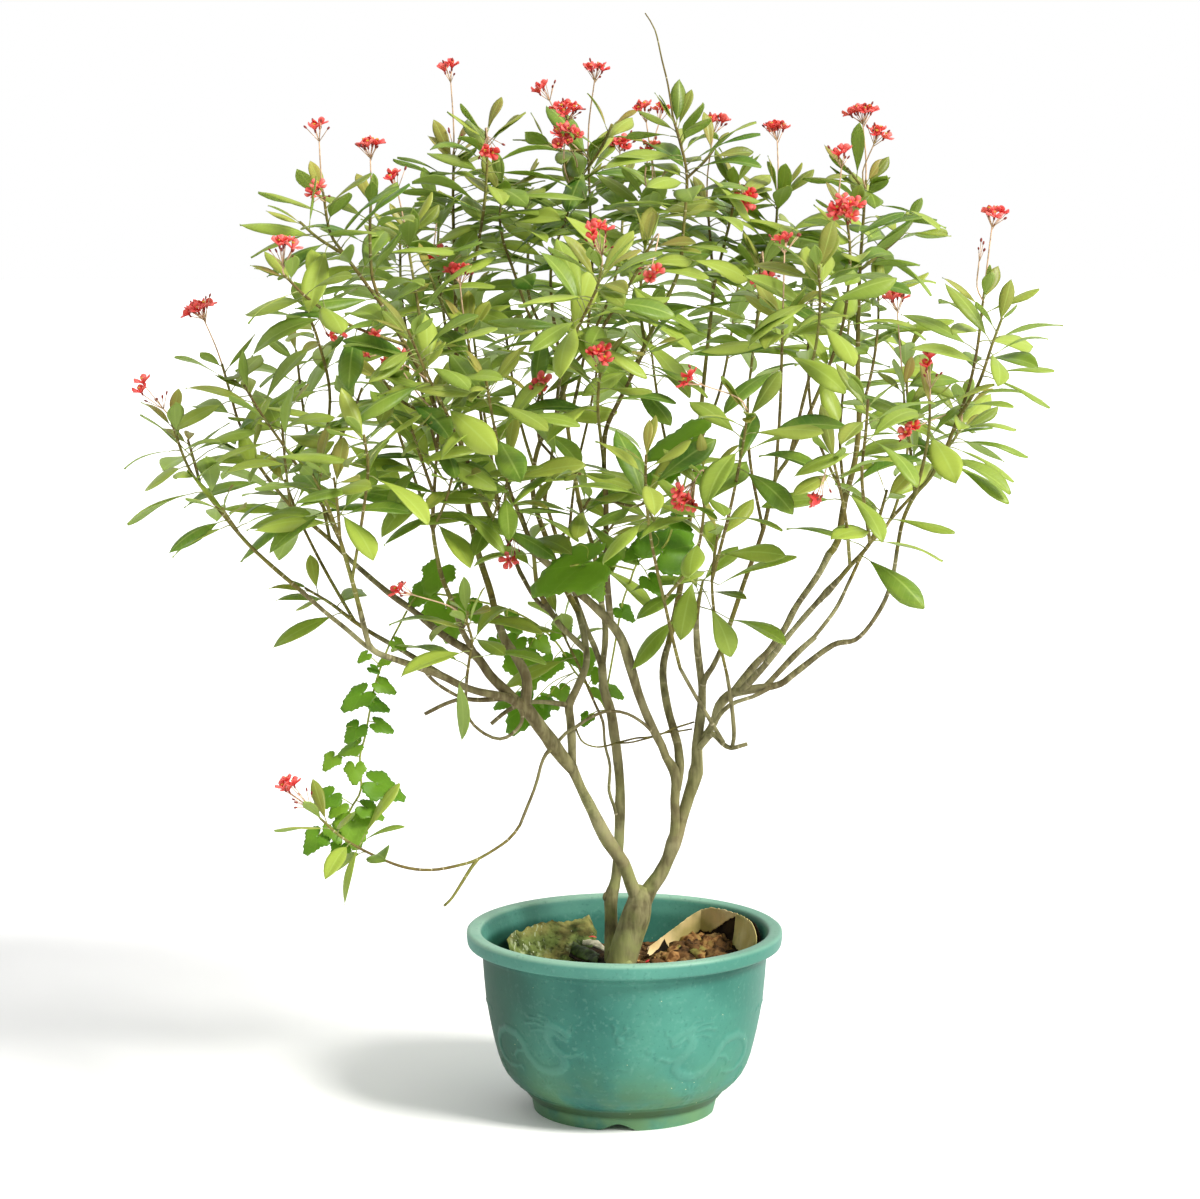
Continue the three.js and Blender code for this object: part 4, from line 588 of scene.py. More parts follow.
class Shader:
    """A material that is painted in coats, with helpers that add and link its nodes."""

    def __init__(self, name, roughness, specular=0.35):
        self.material = bpy.data.materials.new(name)
        self.material.use_nodes = True
        self.tree = self.material.node_tree
        self.nodes = self.tree.nodes
        self.surface = self.nodes["Principled BSDF"]
        self.output = self.nodes["Material Output"]
        self.surface.inputs["Roughness"].default_value = roughness
        self.surface.inputs["Specular IOR Level"].default_value = specular
        self.spot = self.add("ShaderNodeTexCoord").outputs["Object"]
        self.tone = None

    def add(self, kind, **settings):
        node = self.nodes.new(kind)
        for key, value in settings.items():
            setattr(node, key, value)
        return node

    def put(self, value, socket):
        if isinstance(value, bpy.types.NodeSocket):
            self.tree.links.new(value, socket)
        else:
            socket.default_value = value

    def math(self, operation, a, b=0.0):
        node = self.add("ShaderNodeMath", operation=operation)
        self.put(a, node.inputs[0])
        self.put(b, node.inputs[1])
        return node.outputs[0]

    def ramp(self, value, low, high, start=0.0, end=1.0):
        node = self.add("ShaderNodeMapRange", interpolation_type="SMOOTHSTEP")
        for item, socket in zip((value, low, high, start, end), node.inputs):
            self.put(item, socket)
        return node.outputs[0]

    def noise(self, scale, detail, stretch=None):
        where = self.spot
        if stretch:
            mapping = self.add("ShaderNodeMapping")
            self.put(where, mapping.inputs["Vector"])
            mapping.inputs["Scale"].default_value = stretch
            where = mapping.outputs[0]
        node = self.add("ShaderNodeTexNoise")
        self.put(where, node.inputs["Vector"])
        node.inputs["Scale"].default_value = scale
        node.inputs["Detail"].default_value = detail
        return node.outputs[0]

    def cells(self, scale):
        node = self.add("ShaderNodeTexVoronoi")
        self.put(self.spot, node.inputs["Vector"])
        node.inputs["Scale"].default_value = scale
        return node.outputs["Distance"]

    def axis(self, name):
        node = self.add("ShaderNodeSeparateXYZ")
        self.put(self.spot, node.inputs[0])
        return node.outputs[AXES[name]]

    def value(self, name):
        return self.add("ShaderNodeAttribute", attribute_name=name).outputs["Fac"]

    def blend(self, share, a, b):
        node = self.add("ShaderNodeMix", data_type="RGBA")
        self.put(share, node.inputs[0])
        self.put(a, node.inputs[6])
        self.put(b, node.inputs[7])
        return node.outputs[2]

    def source(self, kind, *details):
        """What a mask goes by: noise, cells, how far from a height, across or up, or a value of the mesh."""
        if kind == "noise":
            return self.noise(*details)
        if kind == "cells":
            return self.cells(*details)
        if kind == "from height":
            return self.math("ABSOLUTE", self.math("SUBTRACT", self.axis("height"), *details))
        return self.axis(kind) if kind in AXES else self.value(kind)

    def mask(self, source, *limits):
        return self.ramp(self.source(*source), *limits)

    def base(self, share, dark, light):
        self.tone = self.blend(share, colour(*dark), colour(*light))

    def coat(self, tone, share):
        self.tone = self.blend(share, self.tone, colour(*tone))

    def coats(self, listed):
        """Coats as (tone, mask, mask...), where the masks of one coat are multiplied."""
        for tone, first, *others in listed:
            share = self.mask(*first)
            for other in others:
                share = self.math("MULTIPLY", share, self.mask(*other))
            self.coat(tone, share)

    def bump(self, height, distance, strength=1.0):
        node = self.add("ShaderNodeBump")
        node.inputs["Strength"].default_value = strength
        node.inputs["Distance"].default_value = distance
        self.put(height, node.inputs["Height"])
        self.put(node.outputs[0], self.surface.inputs["Normal"])

    def let_through(self, tone, share):
        """Lets some of the light that falls on the far side through, as a leaf does."""
        glow = self.add("ShaderNodeBsdfTranslucent")
        self.put(colour(*tone), glow.inputs["Color"])
        both = self.add("ShaderNodeMixShader")
        both.inputs[0].default_value = share
        self.put(self.surface.outputs[0], both.inputs[1])
        self.put(glow.outputs[0], both.inputs[2])
        self.put(both.outputs[0], self.output.inputs["Surface"])

    def paint(self):
        self.put(self.tone, self.surface.inputs["Base Color"])
        return self.material


def darker(tone, share):
    return [share * c for c in tone]


# Every mask below is (source, low, high, start, end): it goes from start to end while the source goes from
# low to high, and from 0 to 1 where only low and high are given. A noise is ("noise", scale, detail, stretch).
LEAF_TONES = {
    "deep": (66, 112, 34),
    "light": (178, 194, 82),
    "below": (156, 180, 88),
    "through": (180, 208, 60),
    "veins": (188, 208, 108),
}
VINE_LEAF_TONES = {
    "deep": (86, 134, 28),
    "light": (134, 172, 50),
    "below": (136, 172, 66),
    "through": (150, 200, 40),
    "veins": (164, 194, 84),
}
BRONZE = (176, 140, 82)
LEAF_VEINS = 11
VINE_LEAF_VEINS = 5
VEIN_SLANT = 0.11
LEAF_GLOW = 0.28


def leaf_shader(name, tones, veins):
    """Green in patches, bronze on young leaves and pale below, with a midrib and slanted side veins."""
    made = Shader(name, 0.4)
    made.base(made.value("tint"), tones["deep"], tones["light"])
    made.coat(tones["light"], made.mask(("noise", 18, 3), 0.35, 0.7, 0, 0.35))
    patchy = made.mask(("noise", 9, 3), 0.3, 0.7, 0.5, 1)
    made.coat(BRONZE, made.math("MULTIPLY", made.value("youth"), patchy))
    made.coat(tones["below"], made.value("under"))
    across = made.math("ABSOLUTE", made.value("across"))
    rib = made.ramp(across, 0.03, 0.11, 0.5, 0)
    slanted = made.math("SUBTRACT", made.value("along"), made.math("MULTIPLY", across, VEIN_SLANT))
    wave = made.math("PINGPONG", made.math("MULTIPLY", slanted, veins), 0.5)
    side_veins = made.ramp(wave, 0, 0.09, 0.18, 0)
    made.coat(tones["veins"], made.math("MAXIMUM", rib, side_veins))
    made.let_through(tones["through"], LEAF_GLOW)
    made.bump(wave, 0.0006, 0.35)
    return made.paint()


YOUNG_STEM_TONES = ((88, 80, 38), (126, 116, 58), (134, 138, 70))
BARK_TONES = ((88, 82, 54), (142, 136, 96), (168, 164, 122))
BARK_GRAIN = ("noise", 95, 8, (1, 1, 0.22))
BARK_STAIN = (96, 74, 48)
LEAF_SCAR = (190, 180, 148)
# How far apart the scars of old leaves are, in metres
YOUNG_SCARS_EVERY = 0.021
BARK_SCARS_EVERY = 0.03
# Moss on the bark, less and less from the soil upwards
BARK_MOSS = [
    ((148, 156, 92), (("height",), 0.22, 0.8, 0.7, 0), (("noise", 20, 5), 0.38, 0.62)),
]


def stem_shader(name, tones, scars_every, last_coats=()):
    """Bark with a fine grain, paler patches, and pale scars of old leaves round the thinner stems."""
    dark, light, patch = tones
    made = Shader(name, 0.78, 0.2)
    made.base(made.mask(BARK_GRAIN, 0.32, 0.68), dark, light)
    made.coats([
        (patch, (("noise", 12, 5), 0.46, 0.66, 0, 0.6)),
        (darker(dark, 0.7), (("noise", 30, 4), 0.58, 0.7, 0, 0.45)),
        (BARK_STAIN, (("noise", 5, 3), 0.46, 0.62, 0, 0.4)),
    ])
    turns = made.math("MULTIPLY", made.value("along"), 1 / scars_every)
    uneven = made.math("MULTIPLY", made.noise(14, 3), 0.5)
    gap = made.math("PINGPONG", made.math("ADD", turns, uneven), 0.5)
    scars = made.math("MULTIPLY", made.ramp(gap, 0, 0.09, 0.85, 0), made.mask(("noise", 45, 3), 0.45, 0.6))
    scars = made.math("MULTIPLY", scars, made.mask(("thick",), 0.14, 0.28, 1, 0.05))
    made.coat(LEAF_SCAR, scars)
    made.coats(last_coats)
    made.bump(made.source(*BARK_GRAIN), 0.002, 0.9)
    return made.paint()


POT_NOISE = ("noise", 5, 4)
POT_DEEP = (38, 98, 88)
POT_LIGHT = (74, 138, 122)
POT_COATS = [
    # Paler under the rim, and palest along the rim's top: a painted highlight on the face that looks up to the
    # light
    ((96, 156, 140), (("height",), 0.285, 0.3, 0, 0.4)),
    ((150, 188, 166), (("height",), 0.316, 0.323, 0, 0.7)),
    # Streaks that run down, chalk and grime
    ((84, 142, 122), (("noise", 16, 4, (1, 1, 0.12)), 0.5, 0.75, 0, 0.22)),
    ((118, 166, 152), (("noise", 110, 6), 0.54, 0.72, 0, 0.2)),
    ((40, 90, 84), (("noise", 150, 4), 0.42, 0.3, 0, 0.3)),
    # A green stain low down, a paler foot, and a dark line of painted shade under the ledge over the foot
    ((92, 124, 78), (("height",), 0.02, 0.17, 0.75, 0), (("noise", 11, 5), 0.35, 0.65)),
    ((100, 138, 96), (("height",), 0.02, 0.03, 0.75, 0), (("noise", 26, 4), 0.25, 0.6)),
    ((52, 74, 38), (("from height", 0.031), 0.004, 0.014, 0.8, 0)),
    # Darker towards the left below the rim, painted shade with some green stain in it, and a little darker
    # towards the right
    ((24, 62, 44), (("side",), -0.25, -0.09, 0.85, 0), (("height",), 0.28, 0.3, 1, 0.1)),
    ((48, 112, 94), (("side",), 0.1, 0.22, 0, 0.5)),
    # Painted highlight on the raised relief, and small pale chips
    ((98, 152, 136), (("raised",), 0.1, 0.8, 0, 0.22)),
    ((206, 214, 170), (("cells", 46), 0.03, 0.055, 1, 0), (("noise", 9, 3), 0.52, 0.58)),
]


def pot_shader():
    """Weathered teal plastic: chalky, paler towards the rim with a painted highlight along its top and on the
    relief, stained green and brown towards the foot, with painted shade on the left and under the ledge.
    """
    made = Shader("teal plastic", 0.6, 0.2)
    made.base(made.mask(POT_NOISE, 0.3, 0.7), POT_DEEP, POT_LIGHT)
    made.coats(POT_COATS)
    made.put(made.mask(POT_NOISE, 0.3, 0.7, 0.4, 0.6), made.surface.inputs["Roughness"])
    made.bump(made.noise(90, 6), 0.0005, 0.5)
    return made.paint()


def rough_shader(name, tones, scale, roughness=0.95, depth=0.002):
    """A crumbly or matted surface in three tones, with grain of this scale and depth."""
    made = Shader(name, roughness, 0.1)
    fine = made.noise(scale, 8)
    made.base(made.ramp(fine, 0.35, 0.65), tones[0], tones[1])
    made.coats([(tones[2], (("noise", scale / 4, 5), 0.48, 0.62))])
    made.bump(fine, depth)
    return made.paint()


MOSS_FINE = ("noise", 110, 6)
MOSS_DARK = (48, 62, 30)
MOSS_OLIVE = (124, 138, 76)
MOSS_COATS = [
    # Tan bare places, brown bands, and dark between the tufts
    ((156, 142, 88), (("noise", 17, 4), 0.54, 0.7, 0, 0.6)),
    ((70, 52, 30), (("noise", 12, 5, (1, 1, 3)), 0.5, 0.6, 0, 0.6)),
    ((28, 32, 14), (MOSS_FINE, 0.3, 0.52, 0.7, 0)),
    # Pale patches, and a painted highlight along the upper edge
    ((178, 188, 146), (("noise", 22, 6), 0.55, 0.66), (("noise", 70, 4), 0.42, 0.6)),
    ((158, 152, 90), (("height",), 0.272, 0.29, 0, 0.8), (("noise", 26, 5), 0.4, 0.62)),
    # Pale strings at the left end, and specks
    ((190, 200, 160), (("noise", 130, 6, (1.5, 0.5, 0.5)), 0.57, 0.63), (("side",), -0.17, -0.12, 0.8, 0)),
    ((222, 224, 190), (("cells", 130), 0.12, 0.2, 1, 0), (("noise", 20, 3), 0.54, 0.62)),
]


def moss_shader():
    """Moss in dark and olive patches with tan bare places and pale specks, and a painted highlight along its
    upper edge.
    """
    made = Shader("moss", 0.95, 0.1)
    made.base(made.mask(("noise", 30, 6), 0.4, 0.6), MOSS_DARK, MOSS_OLIVE)
    made.coats(MOSS_COATS)
    made.bump(made.source(*MOSS_FINE), 0.002)
    return made.paint()


def plain_shader(name, tone, roughness=0.6):
    """One tone, a little darker in small patches."""
    made = Shader(name, roughness)
    made.base(made.mask(("noise", 120, 3), 0.3, 0.7), tone, darker(tone, 0.8))
    return made.paint()


PETAL_DEEP = (236, 56, 62)
# The pale tone is partly a painted glow of light through the petals
PETAL_PALE_AND_PAINTED_GLOW = (255, 152, 144)
PETAL_THROUGH = (255, 144, 132)


def petal_shader():
    """Coral red, paler towards the tip as a painted glow of light through it, and paler on some flowers."""
    made = Shader("petal", 0.45)
    share = made.math("MULTIPLY", made.value("tint"), 0.6)
    share = made.math("ADD", share, made.mask(("along",), 0.35, 1, 0, 0.4))
    made.base(share, PETAL_DEEP, PETAL_PALE_AND_PAINTED_GLOW)
    made.let_through(PETAL_THROUGH, 0.4)
    return made.paint()


# Plain looks as (tone, roughness), and rough ones as (three tones, scale, roughness, depth of the grain)
PLAIN_LOOKS = {
    # The stalks' pale tone is a painted highlight of glare; on the dry stalks on the soil it is also their own
    # pale colour
    "stalk": ((222, 186, 150),),
    "petiole": ((160, 168, 98),),
    "bud": ((150, 62, 52),),
    "anther": ((226, 190, 70),),
    "vine stem": ((170, 178, 74),),
    "chip": ((214, 204, 178), 0.9),
    "scrap": ((230, 222, 196), 0.9),
}
ROUGH_LOOKS = {
    "soil": (((50, 36, 22), (116, 84, 52), (140, 112, 70)), 60),
    "sheet": (((206, 180, 128), (226, 206, 158), (150, 138, 84)), 26, 0.85, 0.0008),
    "mossy sheet": (((196, 180, 118), (206, 192, 136), (120, 126, 62)), 40, 0.85, 0.0008),
    # Painted shade: a near-black look for hollows that hold only shade
    "dark sheet": (((22, 16, 10), (44, 32, 22), (56, 42, 26)), 40),
    "clod": (((90, 58, 32), (172, 128, 80), (124, 120, 62)), 90),
    "mossy film": (((30, 42, 16), (66, 84, 36), (118, 126, 88)), 60, 0.5),
}
LOOKS = {
    "leaf": leaf_shader("leaf", LEAF_TONES, LEAF_VEINS),
    "vine leaf": leaf_shader("vine leaf", VINE_LEAF_TONES, VINE_LEAF_VEINS),
    "young stem": stem_shader("young stem", YOUNG_STEM_TONES, YOUNG_SCARS_EVERY),
    "bark": stem_shader("bark", BARK_TONES, BARK_SCARS_EVERY, BARK_MOSS),
    "petal": petal_shader(),
    "pot": pot_shader(),
    "moss": moss_shader(),
    **{name: plain_shader(name, *given) for name, given in PLAIN_LOOKS.items()},
    **{name: rough_shader(name, *given) for name, given in ROUGH_LOOKS.items()},
}
# The values that a mesh hands to its shaders
VALUES = ("tint", "youth", "across", "along", "under", "raised", "thick")
# The radius whose stems count as fully thick, in metres
THICK_STEM = 0.03


# Building meshes
class Piece:
    """Gathers corners and faces, with a look for each face and the shaders' values for each corner."""

    def __init__(self):
        self.corners = []
        self.faces = []
        self.looks = []
        self.flat = []
        self.values = {name: [] for name in VALUES}

    def add(self, corners, faces, look, flat=(), **values):
        start = len(self.corners)
        self.corners.extend(corners)
        for name in VALUES:
            given = values.get(name, 0.0)
            self.values[name].extend(given if isinstance(given, list) else [given] * len(corners))
        for group, is_flat in ((faces, False), (flat, True)):
            for face in group:
                self.faces.append([start + k for k in face])
                self.looks.append(look)
                self.flat.append(is_flat)

    def make(self, name, slot, replaced=()):
        mesh = bpy.data.meshes.new(name)
        mesh.from_pydata([tuple(c) for c in self.corners], [], self.faces)
        used = sorted(set(self.looks))
        for look in used:
            mesh.materials.append(LOOKS[look])
        mesh.polygons.foreach_set("material_index", [used.index(look) for look in self.looks])
        mesh.polygons.foreach_set("use_smooth", [not is_flat for is_flat in self.flat])
        for value, numbers in self.values.items():
            if any(numbers):
                mesh.attributes.new(value, "FLOAT", "POINT").data.foreach_set("value", numbers)
        mesh.update()
        piece = bpy.data.objects.new(name, mesh)
        bpy.context.scene.collection.objects.link(piece)
        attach(piece, "root")
        if replaced:
            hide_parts(*replaced)


def rounded(points, every):
    """A smooth curve through the points, with a point about every so far."""
    if len(points) < 3:
        return list(points)
    ends = [points[0] * 2 - points[1]] + list(points) + [points[-1] * 2 - points[-2]]
    curve = []
    for i in range(1, len(ends) - 2):
        before, start, end, after = ends[i - 1 : i + 3]
        steps = max(2, round((end - start).length / every))
        for k in range(steps):
            t = k / steps
            even = 2 * start + (end - before) * t
            bent = (2 * before - 5 * start + 4 * end - after) * t * t
            twisted = (3 * start - before - 3 * end + after) * t * t * t
            curve.append(0.5 * (even + bent + twisted))
    return curve + [points[-1]]


class Path:
    """A smooth curve with its lengths, to look up a place on it."""

    def __init__(self, points, every=0.014):
        self.points = rounded(points, every)
        self.lengths = [0]
        for a, b in zip(self.points, self.points[1:]):
            self.lengths.append(self.lengths[-1] + (b - a).length)
        self.total = self.lengths[-1]

    def at(self, length):
        i = 1
        while i < len(self.points) - 1 and self.lengths[i] < length:
            i += 1
        share = (length - self.lengths[i - 1]) / (self.lengths[i] - self.lengths[i - 1])
        along = (self.points[i] - self.points[i - 1]).normalized()
        return self.points[i - 1].lerp(self.points[i], share), along


def band_faces(bands, columns, first=0, turned_over=False):
    """Faces of closed bands over rings of corners, where the first ring starts at the first corner."""
    faces = []
    for i in range(bands):
        for k in range(columns):
            a = first + i * columns + k
            b = first + i * columns + (k + 1) % columns
            face = (b, a, a + columns, b + columns) if turned_over else (a, b, b + columns, a + columns)
            faces.append(face)
    return faces


def spokes(across, other, count):
    """Ways out from an axis, evenly round it."""
    return [across * math.cos(turn) + other * math.sin(turn) for turn in turns_of(count)]


# The way that the rings of a stem start from, and how fine the lumps on stems are
RING_START = Vector((0.31, -0.93, 0.2))
LUMP_FINENESS = 28


def add_tube(piece, points, radii, sides, look, lumps=0.0):
    """A round stem through the points, closed at both ends, with lumps as a share of its radius."""
    corners, along, thick = [], [], []
    across = RING_START
    length = 0
    for i, point in enumerate(points):
        way = (points[min(i + 1, len(points) - 1)] - points[max(i - 1, 0)]).normalized()
        across = (across - way * across.dot(way)).normalized()
        if i:
            length += (point - points[i - 1]).length
        for out in spokes(across, way.cross(across), sides):
            reach = radii[i]
            if lumps:
                reach *= 1 + lumps * noise.noise((point + out * radii[i]) * LUMP_FINENESS)
            corners.append(point + out * reach)
            along.append(length)
            thick.append(radii[i] / THICK_STEM)
    last = (len(points) - 1) * sides
    ends = [tuple(range(sides))[::-1], tuple(range(last, last + sides))]
    faces = band_faces(len(points) - 1, sides)
    piece.add(corners, faces, look, flat=ends, along=along, thick=thick)


def add_even_tube(piece, points, radius, sides, look, lumps=0.0):
    add_tube(piece, points, [radius] * len(points), sides, look, lumps)


def add_ball(piece, centre, radii, look, way=UP, rows=5, sides=8):
    """A small egg shape: radii are across and along its axis."""
    across = way.orthogonal().normalized()
    outs = spokes(across, way.cross(across), sides)
    corners = [centre - way * radii[1]]
    for i in range(1, rows):
        angle = math.pi * i / rows
        for out in outs:
            corners.append(centre + out * radii[0] * math.sin(angle) - way * radii[1] * math.cos(angle))
    corners.append(centre + way * radii[1])
    top, last = len(corners) - 1, 1 + (rows - 2) * sides
    faces = [(0, 1 + (k + 1) % sides, 1 + k) for k in range(sides)]
    faces += band_faces(rows - 2, sides, 1)
    faces += [(last + k, last + (k + 1) % sides, top) for k in range(sides)]
    piece.add(corners, faces, look)


def add_plate(piece, rows, lifts, thickness, look, across=None, along=None, **values):
    """A thin closed plate over rows of corners, with its upper side along the lifts."""
    columns = len(rows[0])
    upper = [c + lifts[i][j] * thickness / 2 for i, row in enumerate(rows) for j, c in enumerate(row)]
    lower = [c - lifts[i][j] * thickness / 2 for i, row in enumerate(rows) for j, c in enumerate(row)]
    under = len(upper)
    faces = []
    for i in range(len(rows) - 1):
        for j in range(columns - 1):
            a = i * columns + j
            faces.append((a, a + 1, a + columns + 1, a + columns))
            faces.append((under + a + columns, under + a + columns + 1, under + a + 1, under + a))
    ring = list(range(columns)) + [i * columns + columns - 1 for i in range(1, len(rows))]
    ring += [(len(rows) - 1) * columns + j for j in range(columns - 2, -1, -1)]
    ring += [i * columns for i in range(len(rows) - 2, 0, -1)]
    rim = [(b, a, under + a, under + b) for a, b in zip(ring, ring[1:] + ring[:1])]
    values["under"] = [0.0] * under + [1.0] * under
    if across:
        values.update(across=across * 2, along=along * 2)
    piece.add(upper + lower, faces, look, flat=rim, **values)


def add_cover(piece, spot_at, steps_up, steps_along, thickness, look, lift_at=lambda v: UP):
    """A plate whose corners are given by a function of the share up and the share along."""
    rows, lifts = [], []
    for i in range(steps_up + 1):
        shares = [j / steps_along for j in range(steps_along + 1)]
        rows.append([spot_at(i / steps_up, v) for v in shares])
        lifts.append([lift_at(v) for v in shares])
    add_plate(piece, rows, lifts, thickness, look)


# Shapes of blades: (shares along, half widths there as a share of the widest, columns across)
LEAF_SHAPE = (
    (0, 0.07, 0.18, 0.32, 0.46, 0.6, 0.74, 0.86, 0.95, 1),
    (0.05, 0.2, 0.46, 0.75, 0.94, 1, 0.9, 0.62, 0.26, 0.01),
    (-1, -0.66, -0.33, 0, 0.33, 0.66, 1),
)
PETAL_SHAPE = (
    (0, 0.3, 0.6, 0.85, 1),
    (0.2, 0.5, 0.92, 1, 0.4),
    (-1, 0, 1),
)
BLADE_THICKNESS = 0.0006
DROOP_POWER = 1.4
WAVE_TURNS = 5.5


def add_blade(piece, foot, way, side, length, half, shape, look, droop, fold, curl, wave=0.0, **values):
    """A leaf or petal: droop bends it down along its length, fold lifts its edges and curl lowers them."""
    stations, halves, columns = shape
    way = way.copy()
    here = foot.copy()
    rows, lifts, across, along = [], [], [], []
    reached = 0
    for at, share in zip(stations, halves):
        way.rotate(Quaternion(side, -droop * (at**DROOP_POWER - reached**DROOP_POWER)))
        here = here + way * (length * (at - reached))
        reached = at
        lift = side.cross(way)
        row, row_lifts = [], []
        for x in columns:
            edge = half * share * (fold * abs(x) - curl * x * x)
            rise = edge + wave * half * x * math.sin(WAVE_TURNS * at)
            row.append(here + side * (x * half * share) + lift * rise)
            slope = (fold - 2 * curl * abs(x)) * (1 if x > 0 else -1 if x < 0 else 0)
            row_lifts.append((lift - side * slope * share).normalized())
            across.append(float(x))
            along.append(float(at))
        rows.append(row)
        lifts.append(row_lifts)
    add_plate(piece, rows, lifts, BLADE_THICKNESS, look, across, along, **values)


# Leaves. They face up and a little outward from this place, by this much.
FACE_FROM = Vector((0, 0.3, 0))
FACE_OUTWARD = 0.28
# Leaves whose tips would stand further back than this are left off, in metres
BACKMOST = 0.672
PETIOLE_RADII = (0.0013, 0.001, 0.0009)
PETIOLE_ARCH = 0.06
LEAF_WAVE = 0.12


def facing_at(spot):
    """The way that a leaf at this spot faces."""
    outward = spot - FACE_FROM
    outward.z = 0
    facing = outward.normalized() * FACE_OUTWARD
    facing.z = 1
    return facing


def add_leaf(piece, leaf):
    """A leaf on its stalk."""
    heading, root, foot = leaf["heading"], leaf["root"], leaf["foot"]
    if (foot + heading * leaf["length"]).y > BACKMOST:
        return
    side = turned(heading.cross(facing_at(root)).normalized(), heading, leaf["roll"])
    bend = root.lerp(foot, 0.5) + UP * (PETIOLE_ARCH * (foot - root).length)
    add_tube(piece, [root, bend, foot], PETIOLE_RADII, 5, "petiole")
    add_blade(
        piece, foot, heading, side, leaf["length"], leaf["width"] / 2, LEAF_SHAPE, "leaf", leaf["droop"],
        leaf["fold"], leaf["curl"], LEAF_WAVE, tint=leaf["tint"], youth=leaf["youth"],
    )


def add_leaves(piece, leaves):
    for leaf in leaves:
        add_leaf(piece, leaf)


# Where the leaves sit, counted down from the shoot's tip, in millimetres
FIRST_LEAF = 7
LEAF_SPACING = 13
LAST_LEAF_FROM_FOOT = 6
# Leaves stand further apart towards the foot: the share of the spacing near the tip, and what each adds
CROWDED = 0.75
LESS_CROWDED_BY = 0.04
# How many leaves from the tip a leaf is fully grown
GROWN_AFTER = 5
# Values of the youngest leaf and of a grown one
LIFT_BY_AGE = (1.05, 0.25)
SIZE_BY_AGE = (0.45, 1)
STALK_BY_AGE = (0.4, 1)
DROOP_BY_AGE = (0.15, 0.55)
# Leaves that hang are lifted most of the way to this slope
LOWEST_HEADING = -0.2
LIFTED_BY = 0.8
LEAF_ROLL = 1.0


def leaves_of(path, count, draw, looks, start=0.0):
    """The leaves of a shoot, by the golden angle, crowded and young at the tip."""
    leaves = []
    phase = draw() * TAU
    for k in range(count):
        number = k + start
        age = min(1, number / GROWN_AFTER)
        below = (FIRST_LEAF + LEAF_SPACING * number * (CROWDED + LESS_CROWDED_BY * number)) * MM
        jitter = [draw() for _ in range(5)]
        tint, lean = looks(), looks()
        if below > path.total - LAST_LEAF_FROM_FOOT * MM:
            continue
        point, along = path.at(path.total - below)
        angle = phase + k * GOLDEN_ANGLE + (jitter[0] - 0.5) * 0.5
        outward = Vector((math.cos(angle), math.sin(angle), 0))
        outward = (outward - along * outward.dot(along)).normalized()
        lift = mix(*LIFT_BY_AGE, age) + (jitter[1] - 0.5) * 0.5
        heading = outward * math.cos(lift) + along * math.sin(lift)
        heading.z = mix(heading.z, max(LOWEST_HEADING, heading.z), LIFTED_BY)
        size = mix(*SIZE_BY_AGE, age) * (0.82 + 0.3 * jitter[2])
        leaves.append({
            "root": point,
            "foot": point + heading.normalized() * (PETIOLE * mix(*STALK_BY_AGE, age) * MM),
            "heading": heading.normalized(),
            "length": LEAF_LENGTH * size * MM,
            "width": LEAF_WIDTH * size * (0.85 + 0.3 * jitter[3]) * MM,
            "droop": mix(*DROOP_BY_AGE, age) + (jitter[4] - 0.5) * 0.4,
            "roll": (jitter[3] - 0.5) * LEAF_ROLL,
            "fold": 0.05 + 0.4 * lean,
            "curl": 0.1 + 0.4 * (1 - lean),
            "tint": tint,
            "youth": max(0, 1 - number / GROWN_AFTER) * (0.3 + 0.7 * lean),
        })
    return leaves


LARGE_LEAF_DROOP = 0.5


def nearest_on(curves, target):
    spots = [point for curve in curves for point in curve]
    return min(spots, key=lambda spot: (spot - target).length)


def large_leaf(curves, foot, tip, width, looks):
    """A leaf from the foot to the tip of its blade, whose stalk comes from the nearest stem."""
    foot = place(foot)
    run = place(tip) - foot
    lean = looks()
    return {
        "root": nearest_on(curves, foot),
        "foot": foot,
        "heading": turned(run.normalized(), run.cross(UP).normalized(), LARGE_LEAF_DROOP / 2),
        "length": run.length,
        "width": width * MM,
        "droop": LARGE_LEAF_DROOP,
        "roll": 0,
        "fold": 0.05 + 0.3 * lean,
        "curl": 0.1 + 0.3 * (1 - lean),
        "tint": 0.3 + 0.6 * looks(),
        "youth": 0,
    }


# Flowers, in metres and as shares of the flower's radius
PETALS = 5
PETAL_FOOT = 0.006
PETAL_LENGTH = 1.35
PETAL_HALF = 0.42
PETAL_DROOP = (-0.1, 0.9)
PETAL_CURL = 0.45
PETAL_SHADES = (-0.25, 0.25)
OPEN_BY = (0.7, 1.25)
CALYX_BELOW = 0.0075
CALYX_RADII = (0.0021, 0.0045)
ANTHERS = 4
ANTHER_RISE = 0.004
ANTHER_APART = 0.0016
ANTHER_RADII = (0.001, 0.0018)
FLOWER_STALK_END = 0.009
FLOWER_STALK_RADII = (0.0008, 0.0009)
# How strongly each flower turns upwards
UPRIGHT = 0.8


